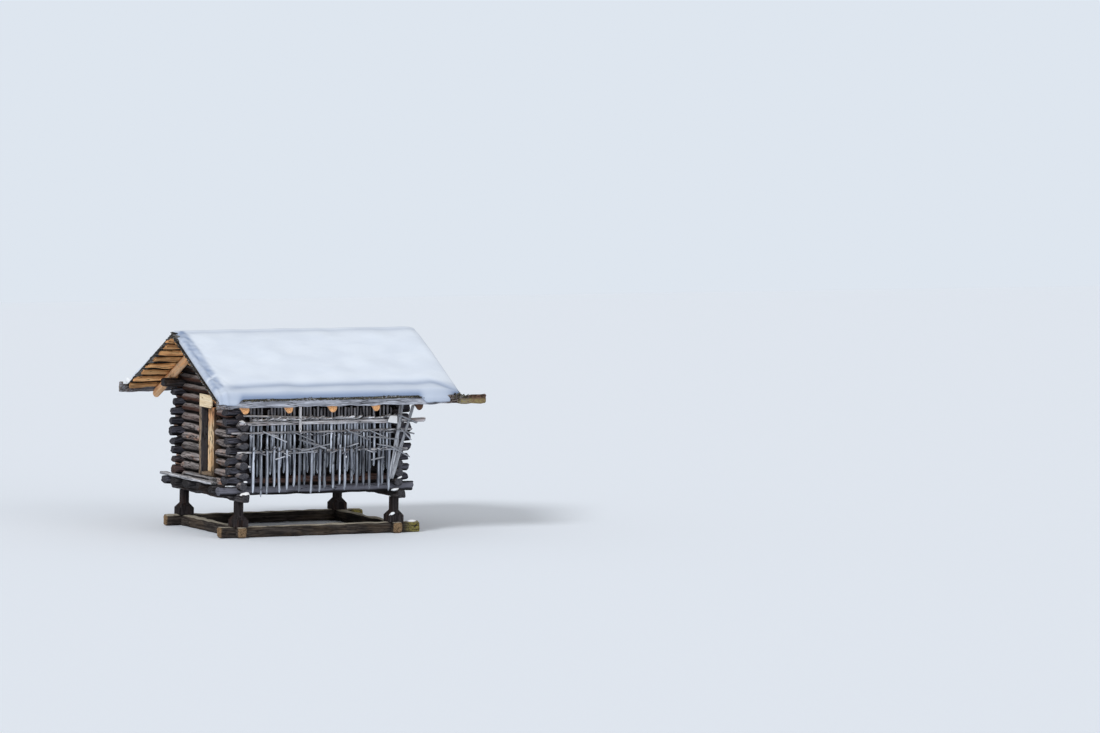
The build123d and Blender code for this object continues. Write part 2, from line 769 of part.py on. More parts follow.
def peg(x, y_min, y_max, z_min):
    block(x - peg_size / 2, x + peg_size / 2, y_min, y_max, z_min, z_min + peg_size)


# The loose pole slants down to the right, where it lies on the hook pegs over the main rail
hook_z = rail_z + rail_size / 2 + fit
pole_span = loose_pole_right - loose_pole_left
pole_slant = loose_pole_rise / pole_span
pole_half_height = loose_pole_size / 2 * math.hypot(1, pole_slant)
pole_end_z = hook_z + peg_size + fit + pole_half_height


def under_loose_pole(x):
    return pole_end_z + (building_x + loose_pole_right - x) * pole_slant - pole_half_height - fit


# Upper stakes: each hangs by a hook peg over the main rail, and two carry the loose pole
upper_y = upper_front_y + stake_depth / 2
stake_step = (stakes_right - stakes_left) / (upper_places - 1)
poles = []
for n in range(upper_places):
    if n in empty_places:
        continue
    with BuildPart() as pole:
        x = building_x + stakes_left + n * stake_step + uneven(n, upper_shift)
        lean = math.radians(stake_lean * math.sin(0.3 * n))
        length = upper_length + uneven(n + 9, 80)
        top_z = upper_top + uneven(n + 3, 60)
        stake(x, upper_y, top_z, length, lean, stake_width + uneven(n + 5, upper_shift))
        shoulder_z = top_z - length + stake_point
        peg(x + (hook_z - shoulder_z) * math.tan(lean), upper_front_y - hook_reach, upper_y, hook_z)
        if n in loose_pole_rests:
            x_rest = x + (pole_end_z - shoulder_z) * math.tan(lean)
            peg(x_rest, upper_front_y - sprag_length, upper_y,
                under_loose_pole(x_rest + peg_size / 2) - peg_size)
    poles.append(pole.part)
with BuildPart() as stakes_upper:
    add(poles)
save(stakes_upper, "stakes_upper")

# Lower stakes: they hang over the lower rail in front of the upper ones
lower_y = thin_rail_y - thin_rail_size / 2 - fit - stake_depth / 2
lower_hook_z = lower_rail_z + thin_rail_size / 2 + fit
lower_step = (stakes_right - stakes_left - 2 * lower_inset) / (lower_count - 1)
poles = []
for n in range(lower_count):
    with BuildPart() as pole:
        x = building_x + stakes_left + lower_inset + n * lower_step + uneven(n + 50, lower_shift)
        lean = math.radians(stake_lean * math.sin(0.6 * n + 2))
        length = lower_length + uneven(n + 19, 100)
        top_z = lower_top + uneven(n + 13, 45)
        stake(x, lower_y, top_z, length, lean, stake_width + uneven(n, 6))
        x_hook = x + (lower_hook_z - top_z + length - stake_point) * math.tan(lean)
        peg(x_hook, lower_y, thin_rail_y + thin_rail_size / 4, lower_hook_z)
    poles.append(pole.part)
with BuildPart() as stakes_lower:
    add(poles)
save(stakes_lower, "stakes_lower")

# Loose poles: the slanting one, sticks against the middle rail, a short stake hooked over the
# main rail from the front, and two slanted boards on the right end of that rail
stick_y = thin_rail_y - (thin_rail_size + stick_size) / 2 - fit
stick_top_z = middle_rail_z + stick_size
front_y = rail_line_y - rail_size / 2 - fit
with BuildPart() as hanger:
    x = building_x + stakes_left + hanger_place * stake_step
    stake(x, front_y - stake_depth / 2, hanger_top, hanger_length, 0, stake_width)
    peg(x, front_y - stake_depth / 2, rail_line_y, hook_z)
with BuildPart() as rack_poles:
    add(hanger.part)
    pole_y = upper_front_y - fit - loose_pole_size / 2
    pole_between((building_x + loose_pole_left, pole_y, pole_end_z + loose_pole_rise),
                 (building_x + loose_pole_right, pole_y, pole_end_z), loose_pole_size)
    for x in stick_xs:
        pole_between((building_x + x, stick_y, stick_top_z),
                     (building_x + x + stick_run, stick_y, stick_top_z - stick_drop), stick_size)
    for n, (width, top_x) in enumerate(((brace_width, brace_top_x), (front_brace_width, front_brace_top_x))):
        board_back = front_y - n * (brace_thickness + fit)
        with BuildSketch(Plane.XZ.offset(-board_back)) as board:
            Polygon((building_x + brace_foot_x - width / 2, brace_foot_z),
                    (building_x + brace_foot_x + width / 2, brace_foot_z),
                    (building_x + top_x + width / 2, brace_top_z),
                    (building_x + top_x - width / 2, brace_top_z), align=None)
        extrude(board.sketch, amount=brace_thickness)
save(rack_poles, "rack_poles")
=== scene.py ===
import math
import bpy
import numpy as np
from mathutils import Matrix, Vector


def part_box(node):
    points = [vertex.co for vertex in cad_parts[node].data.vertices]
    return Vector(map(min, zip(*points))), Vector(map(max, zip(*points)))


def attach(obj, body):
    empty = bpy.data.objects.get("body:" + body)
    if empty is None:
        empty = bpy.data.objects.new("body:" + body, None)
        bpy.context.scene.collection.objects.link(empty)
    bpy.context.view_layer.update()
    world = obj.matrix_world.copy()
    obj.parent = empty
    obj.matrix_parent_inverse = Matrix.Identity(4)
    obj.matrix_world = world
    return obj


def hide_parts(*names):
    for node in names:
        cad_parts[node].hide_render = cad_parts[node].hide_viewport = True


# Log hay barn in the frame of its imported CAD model: metres, +Z up, the ridge along X.
# The door gable faces -X and the drying stakes face -Y. Round logs, poles, boards and snow are
# drawn here over the CAD solids, whose places are read from the frame.

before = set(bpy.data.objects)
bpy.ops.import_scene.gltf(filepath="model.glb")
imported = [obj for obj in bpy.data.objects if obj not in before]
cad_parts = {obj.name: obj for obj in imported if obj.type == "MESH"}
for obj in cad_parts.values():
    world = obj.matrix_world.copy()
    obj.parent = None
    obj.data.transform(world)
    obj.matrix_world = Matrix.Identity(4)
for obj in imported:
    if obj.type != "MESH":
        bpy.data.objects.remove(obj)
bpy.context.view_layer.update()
print("frame loaded")

view = {
    "azimuth": -27.0,                  # degrees from the long wall towards the door gable
    "elevation": 4.2,
    "roll": 0.9,                       # clockwise
    "metresPerPixel": 0.024,
    "picture": (1100, 733),
    "anchorPixel": (288.3, 528.5),     # where the middle of the walls stands on the ground
    "anchorPoint": (-0.3, 0.0, 0.0),
    "lens": 200.0,
    "sensor": 36.0,
    "farClip": 600.0,
}


def placeCamera():
    turn, rise = math.radians(view["azimuth"]), math.radians(view["elevation"])
    back = Vector((math.sin(turn) * math.cos(rise), -math.cos(turn) * math.cos(rise), math.sin(rise)))
    spin = Matrix.Rotation(math.radians(view["roll"]), 3, back)
    level = Vector((math.cos(turn), math.sin(turn), 0.0))
    right, up = spin @ level, spin @ back.cross(level)
    width, height = view["picture"]
    pixelX, pixelY = view["anchorPixel"]
    scale = view["metresPerPixel"]
    aim = (Vector(view["anchorPoint"]) + right * (width / 2 - pixelX) * scale
           + up * (pixelY - height / 2) * scale)
    data = bpy.data.cameras.new("viewCamera")
    data.lens = view["lens"]
    data.sensor_width = view["sensor"]
    data.clip_end = view["farClip"]
    camera = bpy.data.objects.new("viewCamera", data)
    place = aim + back * width * scale * view["lens"] / view["sensor"]
    camera.matrix_world = Matrix((
        (right.x, up.x, back.x, place.x), (right.y, up.y, back.y, place.y),
        (right.z, up.z, back.z, place.z), (0.0, 0.0, 0.0, 1.0)))
    bpy.context.scene.collection.objects.link(camera)
    bpy.context.scene.camera = camera


placeCamera()


# Places read from the frame
def corners(node):
    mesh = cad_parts[node].data
    places = np.empty(len(mesh.vertices) * 3)
    mesh.vertices.foreach_get("co", places)
    return places.reshape(-1, 3)


def solids(node):
    # The corners of each separate solid of a node. Corners at one place count as one; each takes
    # the smallest number found over its triangles, again and again until nothing changes.
    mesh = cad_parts[node].data
    places = corners(node)
    merged, same = np.unique(np.round(places, 4), axis=0, return_inverse=True)
    triangles = np.empty(len(mesh.loops), int)
    mesh.loops.foreach_get("vertex_index", triangles)
    triangles = same.reshape(-1)[triangles].reshape(-1, 3)
    label = np.arange(len(merged))
    while True:
        fresh = label.copy()
        np.minimum.at(fresh, triangles.ravel(), np.repeat(label[triangles].min(axis=1), 3))
        fresh = fresh[fresh]
        if (fresh == label).all():
            break
        label = fresh
    found = [merged[label == number] for number in np.unique(label)]
    return sorted(found, key=lambda part: (round(part[:, 2].min(), 2), *part[:, :2].min(axis=0)))


def boxOf(part):
    return part.min(axis=0), part.max(axis=0)


coverCorners = corners("roof_cover_near")
coverEave = coverCorners[coverCorners[:, 1] < coverCorners[:, 1].min() + 0.001]
slope = math.atan2(coverCorners[:, 2].max() - coverEave[:, 2].max(), -coverEave[0, 1])
rafterRidge = corners("rafters_near")[:, 2].max()     # where the tops of the rafters meet
coverRidge = coverCorners[:, 2].max()
vergeLeft, vergeRight = coverCorners[:, 0].min(), coverCorners[:, 0].max()
eaveY = -coverEave[0, 1]


# Shapes
waveCount, waveSpread = 7, (0.6, 1.5)              # how many waves, and their lengths by the size


def waves(places, size, seed):
    # smooth bumps between about -1 and 1: the sum of sine waves in seeded directions
    chance = np.random.default_rng(seed)
    total = np.zeros(places.shape[:-1])
    for _ in range(waveCount):
        direction = chance.normal(size=3)
        direction *= 2 * math.pi / (np.linalg.norm(direction) * size * chance.uniform(*waveSpread))
        total += np.sin(places @ direction + chance.uniform(0, 2 * math.pi))
    return total / (waveCount / 2)


def smooth(low, high, value):
    share = np.clip((value - low) / (high - low), 0, 1)
    return share * share * (3 - 2 * share)


def hump(distance, width):
    return np.exp(-(distance / width) ** 2)      # 1 in the middle, about a third at the width


def superellipse(wave, power):
    return np.sign(wave) * np.abs(wave) ** (2 / power)         # of the cosine or sine of an angle


def closeAcross(end):
    # quads from the first half of an end ring to its second half, taken backwards
    half = len(end) // 2
    front, back = end[:half], end[half:][::-1]
    return np.stack((front[1:], front[:-1], back[:-1], back[1:]), axis=-1)


def closeTube(rings, poles=None):
    # rings (count, sides, 3) that turn from +Y to +Z as they move along +X, and the two end points.
    # Without end points the ends are closed across.
    ring = np.arange(rings[..., 0].size).reshape(rings.shape[:2])
    ahead = np.roll(ring, -1, axis=1)
    places = rings.reshape(-1, 3)
    quads = np.stack((ring[:-1], ahead[:-1], ahead[1:], ring[1:]), axis=-1).reshape(-1, 4)
    if poles is None:
        quads = np.concatenate((quads, closeAcross(ring[0]), closeAcross(ring[-1])[:, ::-1]))
        return {"places": places, "quads": quads, "triangles": np.empty((0, 3), int)}
    first = np.stack((np.full(len(ring[0]), ring.size), ahead[0], ring[0]), axis=-1)
    last = np.stack((np.full(len(ring[0]), ring.size + 1), ring[-1], ahead[-1]), axis=-1)
    return {"places": np.concatenate((places, poles)), "quads": quads,
            "triangles": np.concatenate((first, last))}


usualBar = {
    "rings": 26, "sides": 18, "power": 2.0,        # of the ring: 2 is round, above it turns boxy
    "up": (0, 0, 1), "taper": 0.0, "bow": 0.0, "sag": 0.0,
    "wobble": 0.006, "wobbleWave": 0.22,           # height and length of the bumps,
    "wobbleStretch": (0.4, 1, 1),                  # which are drawn out along the bar
    "edge": 0.012, "edgeMost": 0.3,                # bevel of the cut ends; at most this share of the size
    "skew": 0.06,                                  # tilt of the cut ends
    "ragged": 0.0, "raggedDepth": 0.08, "raggedWave": 0.07,    # roughness of the cut ends
    "thin": 0.0, "thinLength": 0.38, "thinShift": 0.3,         # a log is hewn lower towards its ends
    "thinVaries": (0.3, 1),
    "point": 0.0, "tip": 0.2,                      # length of a hewn point and what is left at its tip
    "startNormal": None, "endNormal": None,
}


def cutEnds(form, along, across, above, offset, chance):
    # how far the face of each end runs ahead of a square cut, over the ring
    ends = []
    for normal in (form["startNormal"], form["endNormal"]):
        if normal is None:
            normal = along + form["skew"] * (across * chance.normal() + above * chance.normal())
        normal = np.array(normal, float)
        ends.append(-(offset @ normal) / (along @ normal))
    return ends


def bar(start, end, width, height, seed, **more):
    # A pole or board between two points. Each ring is a superellipse whose radius is moved by
    # waves, and both ends close with a bevel and a flat cap of two rings.
    form = {**usualBar, **more}
    chance = np.random.default_rng(seed)
    start, end = np.array(start, float), np.array(end, float)
    length = np.linalg.norm(end - start)
    along = (end - start) / length
    across = np.cross(form["up"], along)
    across /= np.linalg.norm(across)
    above = np.cross(along, across)
    bevel = min(form["edge"], form["edgeMost"] * min(width, height))
    body = bevel / length + (1 - 2 * bevel / length) * np.linspace(0, 1, form["rings"])
    t = np.concatenate(([0, 0], body, [1, 1]))
    capSize = 1 - bevel / (0.5 * max(width, height))
    size = np.concatenate(([0.5 * capSize, capSize], np.ones(form["rings"]), [capSize, 0.5 * capSize]))
    cap = np.concatenate(([1, 1], np.zeros(form["rings"]), [1, 1]))
    if form["point"]:
        size *= form["tip"] + (1 - form["tip"]) * np.clip(t * length / form["point"], 0, 1)
    t, size, cap = t[:, None], size[:, None], cap[:, None]
    angle = np.linspace(0, 2 * math.pi, form["sides"], endpoint=False) + math.pi / form["sides"]
    grow = size * (1 + form["taper"] * (t - 0.5))
    x = grow * (superellipse(np.cos(angle), form["power"]) * width / 2)
    y = grow * (superellipse(np.sin(angle), form["power"]) * height / 2)
    local = np.stack((t * length + 0 * x, x, y), axis=-1)
    bumps = form["wobble"] * waves(local * form["wobbleStretch"], form["wobbleWave"], seed)
    push = 1 + bumps / (0.5 * min(width, height))
    fromEnd = np.minimum(t, 1 - t) * length
    startShare, endShare = chance.uniform(*form["thinVaries"], size=2)
    lower = form["thin"] * smooth(0, 1, 1 - fromEnd / form["thinLength"])
    lower = lower * np.where(t < 0.5, startShare, endShare)
    x = x * push
    y = y * push * (1 - lower) - form["thinShift"] * lower * height * chance.uniform(-1, 1)
    arch = np.sin(math.pi * t)[..., None]
    middle = across * form["bow"] * arch - above * form["sag"] * arch
    offset = across * x[..., None] + above * y[..., None]
    first, last = cutEnds(form, along, across, above, offset, chance)
    face = np.stack((np.round(t) + 0 * x, x, y), axis=-1)
    torn = np.clip(1 - fromEnd / form["raggedDepth"], 0, 1) * waves(face, form["raggedWave"], seed + 9)
    run = first + t * (length + last - first) + form["ragged"] * torn
    tube = closeTube(start + middle + offset + along * run[..., None], np.stack((start, end)))
    flat = np.concatenate((local.reshape(-1, 3), [[0, 0, 0], [length, 0, 0]]))
    tube["local"] = flat + (chance.uniform(0, 50), 0, 0)       # no two bars have the same grain
    tube["cap"] = np.concatenate(((cap + 0 * x).ravel(), [1, 1]))
    tube["tone"] = np.full(len(tube["places"]), chance.uniform())
    return tube


def makePiece(name, tubes, material, body="barn", nodes=()):
    # joins the tubes into one mesh and keeps their places, end caps, tones and painted shade as attributes
    counts = [len(tube["places"]) for tube in tubes]
    shifts = np.concatenate(([0], np.cumsum(counts)[:-1]))
    places = np.concatenate([tube["places"] for tube in tubes])
    quads = np.concatenate([tube["quads"] + shift for tube, shift in zip(tubes, shifts)])
    triangles = np.concatenate([tube["triangles"] + shift for tube, shift in zip(tubes, shifts)])
    mesh = bpy.data.meshes.new(name)
    mesh.vertices.add(len(places))
    mesh.vertices.foreach_set("co", places.ravel())
    mesh.loops.add(quads.size + triangles.size)
    mesh.loops.foreach_set("vertex_index", np.concatenate((quads.ravel(), triangles.ravel())))
    mesh.polygons.add(len(quads) + len(triangles))
    starts = np.concatenate((np.arange(len(quads)) * 4, quads.size + np.arange(len(triangles)) * 3))
    mesh.polygons.foreach_set("loop_start", starts)
    mesh.polygons.foreach_set("use_smooth", np.ones(len(starts), bool))
    for field, kind, key in (("local", "FLOAT_VECTOR", "vector"), ("cap", "FLOAT", "value"),
                             ("tone", "FLOAT", "value"), ("shade", "FLOAT", "value")):
        if field in tubes[0]:
            values = np.concatenate([tube[field] for tube in tubes])
            mesh.attributes.new(field, kind, "POINT").data.foreach_set(key, values.ravel())
    mesh.update(calc_edges=True)
    mesh.materials.append(material)
    piece = bpy.data.objects.new(name, mesh)
    bpy.context.scene.collection.objects.link(piece)
    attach(piece, body)
    if nodes:
        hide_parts(*nodes)


# Shader maths: a wire is a socket with arithmetic
class Wire:
    def __init__(self, graph, socket):
        self.graph, self.socket = graph, socket

    def __add__(self, other):
        return self.graph.maths("ADD", self, other)

    def __radd__(self, other):
        return self.graph.maths("ADD", other, self)

    def __sub__(self, other):
        return self.graph.maths("SUBTRACT", self, other)

    def __rsub__(self, other):
        return self.graph.maths("SUBTRACT", other, self)

    def __mul__(self, other):
        return self.graph.maths("MULTIPLY", self, other)

    def __rmul__(self, other):
        return self.graph.maths("MULTIPLY", other, self)


noShift = (0.0, 0.0, 0.0)
specular = 0.07                                    # dry wood and snow hardly shine
mixSockets = {"share": 0, "first": 6, "second": 7, "result": 2}     # of a Mix node set to colours


class Graph:
    def __init__(self, name):
        self.material = bpy.data.materials.new(name)
        self.material.use_nodes = True
        self.tree = self.material.node_tree
        self.shader = self.tree.nodes["Principled BSDF"]

    def join(self, value, socket):
        if isinstance(value, Wire):
            self.tree.links.new(value.socket, socket)
        else:
            socket.default_value = value

    def node(self, kind, settings, inputs, output=0):
        made = self.tree.nodes.new("ShaderNode" + kind)
        for name, value in settings.items():
            setattr(made, name, value)
        for key, value in inputs.items():
            self.join(value, made.inputs[key])
        return Wire(self, made.outputs[output])

    def attribute(self, name, output="Fac"):
        return self.node("Attribute", {"attribute_name": name}, {}, output)

    def maths(self, operation, *values):
        return self.node("Math", {"operation": operation}, dict(enumerate(values)))

    def absolute(self, value):
        return self.maths("ABSOLUTE", value)

    def vector(self, *values):
        return self.node("CombineXYZ", {}, dict(enumerate(values)))

    def mix(self, share, first, second, blend="MIX"):
        first, second = (value if isinstance(value, Wire) else (*value, 1.0) for value in (first, second))
        sockets = {mixSockets["share"]: share, mixSockets["first"]: first, mixSockets["second"]: second}
        settings = {"data_type": "RGBA", "blend_type": blend, "clamp_factor": True}
        return self.node("Mix", settings, sockets, mixSockets["result"])

    def step(self, low, high, value):
        return self.node("MapRange", {"interpolation_type": "SMOOTHSTEP"},
                         {"Value": value, "From Min": low, "From Max": high}, "Result")

    def split(self, place):
        parts = self.node("SeparateXYZ", {}, {"Vector": place}).socket.node
        return [Wire(self, output) for output in parts.outputs]

    def stretch(self, place, scale, shift=noShift):
        scaled = self.node("VectorMath", {"operation": "MULTIPLY"}, {0: place, 1: scale})
        return self.node("VectorMath", {"operation": "ADD"}, {0: scaled, 1: shift})

    def noise(self, place, scale, detail, rough, shift=noShift):
        return self.node("TexNoise", {}, {"Vector": self.stretch(place, scale, shift), "Scale": 1.0,
                                          "Detail": detail, "Roughness": rough}, "Fac")

    def finish(self, colour, roughness, height, distance):
        normal = self.node("Bump", {}, {"Height": height, "Distance": distance, "Strength": 1.0}, "Normal")
        for key, value in (("Base Color", colour), ("Roughness", roughness), ("Normal", normal),
                           ("Specular IOR Level", specular)):
            self.join(value, self.shader.inputs[key])
        return self.material


# Noises of the wood: scale along and across the grain, detail, roughness and shift. Levels: where
# a noise starts to count and where it counts fully.
grainNoise = {
    "streaks": ((1.6, 26, 26), 6.0, 0.7),
    "hairs": ((9, 150, 150), 3.0, 0.6, (3, 0, 0)),
    "blotches": ((1.4, 4.5, 4.5), 3.0, 0.55, (9, 0, 0)),
    "flakes": ((4.5, 17, 17), 3.0, 0.65, (5, 0, 0)),
    "splits": ((0.9, 13, 13), 2.0, 0.5, (17, 0, 0)),
    "mottle": ((34, 34, 34), 3.0, 0.6),            # of the moss, in the object's own space
    "ringBend": ((0, 12, 12), 2.0, 0.5),
    "rays": ((1, 1, 1), 2.0, 0.5),
}
levels = {"streaks": (0.38, 0.62), "hairs": (0.4, 0.7), "blotches": (0.5, 0.64), "flakes": (0.53, 0.63),
          "mottle": (0.4, 0.56)}
usualWood = {
    "patchShare": 0.0, "hairShare": 0.45, "flakes": 0.3,       # shares of patches, dark hairs, flakes
    "flakeShade": (0.012, 0.01, 0.01),
    "crackCore": 0.004, "crack": 0.022, "crackShare": 0.8, "crackShade": (0.012, 0.01, 0.009),
    "vary": 0.5, "knotShare": 0.9,                 # vary: how far the bars differ in lightness
    "rings": 700.0, "ringBend": 0.02,              # growth rings: radians a metre, and their waviness
    "check": 0.03, "checkShare": 0.8, "checkShade": (0.01, 0.008, 0.007),      # star of cracks in an end
    "rough": 0.85, "bump": 0.006, "relief": {"streaks": 0.6, "hairs": 0.25, "crack": 1.2},
    "places": (), "placeBlur": 0.4, "moss": (), "bands": (), "bandBlur": 0.02,
}


def paintPlaces(graph, colour, places, axes, mask=1.0):
    for shade, share, *spans in places:
        share = share * mask
        for axis, low, high in spans:
            share = share * graph.step(low, high, axes[axis])
        colour = graph.mix(share, colour, shade)
    return colour


def endGrain(graph, look, place, tone):
    # the cut end: rings by the distance from the middle line, and checks that run out from it
    _, y, z = graph.split(place)
    radius = graph.maths("SQRT", y * y + z * z)
    bend = (graph.noise(place, *grainNoise["ringBend"]) - 0.5) * look["ringBend"]
    ring = graph.maths("SINE", (radius + bend) * look["rings"]) * 0.5 + 0.5
    fan = graph.vector(graph.maths("ARCTAN2", z, y) * 2.5, radius * 4, tone * 30)
    ray = graph.absolute(graph.noise(fan, *grainNoise["rays"]) - 0.5)
    check = 1 - graph.step(0.0, look["check"], ray)
    colour = graph.mix(ring, look.get("endDark", look["dark"]), look.get("end", look["light"]))
    return graph.mix(check * look["checkShare"], colour, look["checkShade"])


def woodMaterial(name, look, grain=None):
    # Wood in the piece's own space: x along the grain, y and z across it. The place is the
    # attribute that the bars keep, or for a CAD node the object's, turned so that x is the grain.
    look = {**usualWood, **look}
    graph = Graph(name)
    spot = graph.node("TexCoord", {}, {}, "Object")
    axes = graph.split(spot)
    if grain is None:
        place, tone = graph.attribute("local", "Vector"), graph.attribute("tone")
    else:
        place = graph.vector(axes[grain], *(axes[axis] for axis in range(3) if axis != grain))
        tone = 0.5
    kinds = ("streaks", "hairs", "blotches", "flakes", "splits")
    streaks, hairs, blotches, flakes, splits = (graph.noise(place, *grainNoise[kind]) for kind in kinds)
    crack = 1 - graph.step(look["crackCore"], look["crack"], graph.absolute(splits - 0.5))
    colour = graph.mix(graph.step(*levels["streaks"], streaks), look["dark"], look["light"])
    for value, kind, share, shade in (
            (blotches, "blotches", look["patchShare"], look.get("patch", look["light"])),
            (hairs, "hairs", look["hairShare"], look["dark"]),
            (flakes, "flakes", look["flakes"], look["flakeShade"])):
        colour = graph.mix(graph.step(*levels[kind], value) * share, colour, shade)
    blurred = [axis + (blotches - 0.5) * look["placeBlur"] for axis in axes]
    mottle = graph.step(*levels["mottle"], graph.noise(spot, *grainNoise["mottle"]))
    colour = paintPlaces(graph, colour, look["places"], blurred)
    colour = paintPlaces(graph, colour, look["moss"], axes, mottle)
    tint = 1 + (tone - 0.5) * look["vary"]
    colour = graph.mix(1.0, colour, graph.vector(tint, tint, tint), "MULTIPLY")
    if "knots" in look:
        knotColour, cells, size = look["knots"]
        fromKnot = graph.node("TexVoronoi", {}, {"Vector": graph.stretch(place, cells), "Scale": 1.0},
                              "Distance")
        knot = 1 - graph.step(size * 0.5, size, fromKnot)
        colour = graph.mix(knot * look["knotShare"], colour, knotColour)
    # painted light and shade across the piece: bands of its own y or z made lighter or darker
    for axis, bothWays, low, high, shade, share in look["bands"]:
        across = graph.split(place)[axis]
        across = graph.absolute(across) if bothWays else across
        paintedBand = graph.step(low, high, across + (blotches - 0.5) * look["bandBlur"])
        colour = graph.mix(paintedBand * share, colour, shade)
    if grain is None:
        end = paintPlaces(graph, endGrain(graph, look, place, tone), look["places"], axes)
        colour = graph.mix(graph.attribute("cap"), colour, end)
    colour = graph.mix(crack * look["crackShare"], colour, look["crackShade"])
    relief = look["relief"]
    height = streaks * relief["streaks"] + hairs * relief["hairs"] - crack * relief["crack"]
    return graph.finish(colour, look["rough"], height, look["bump"])
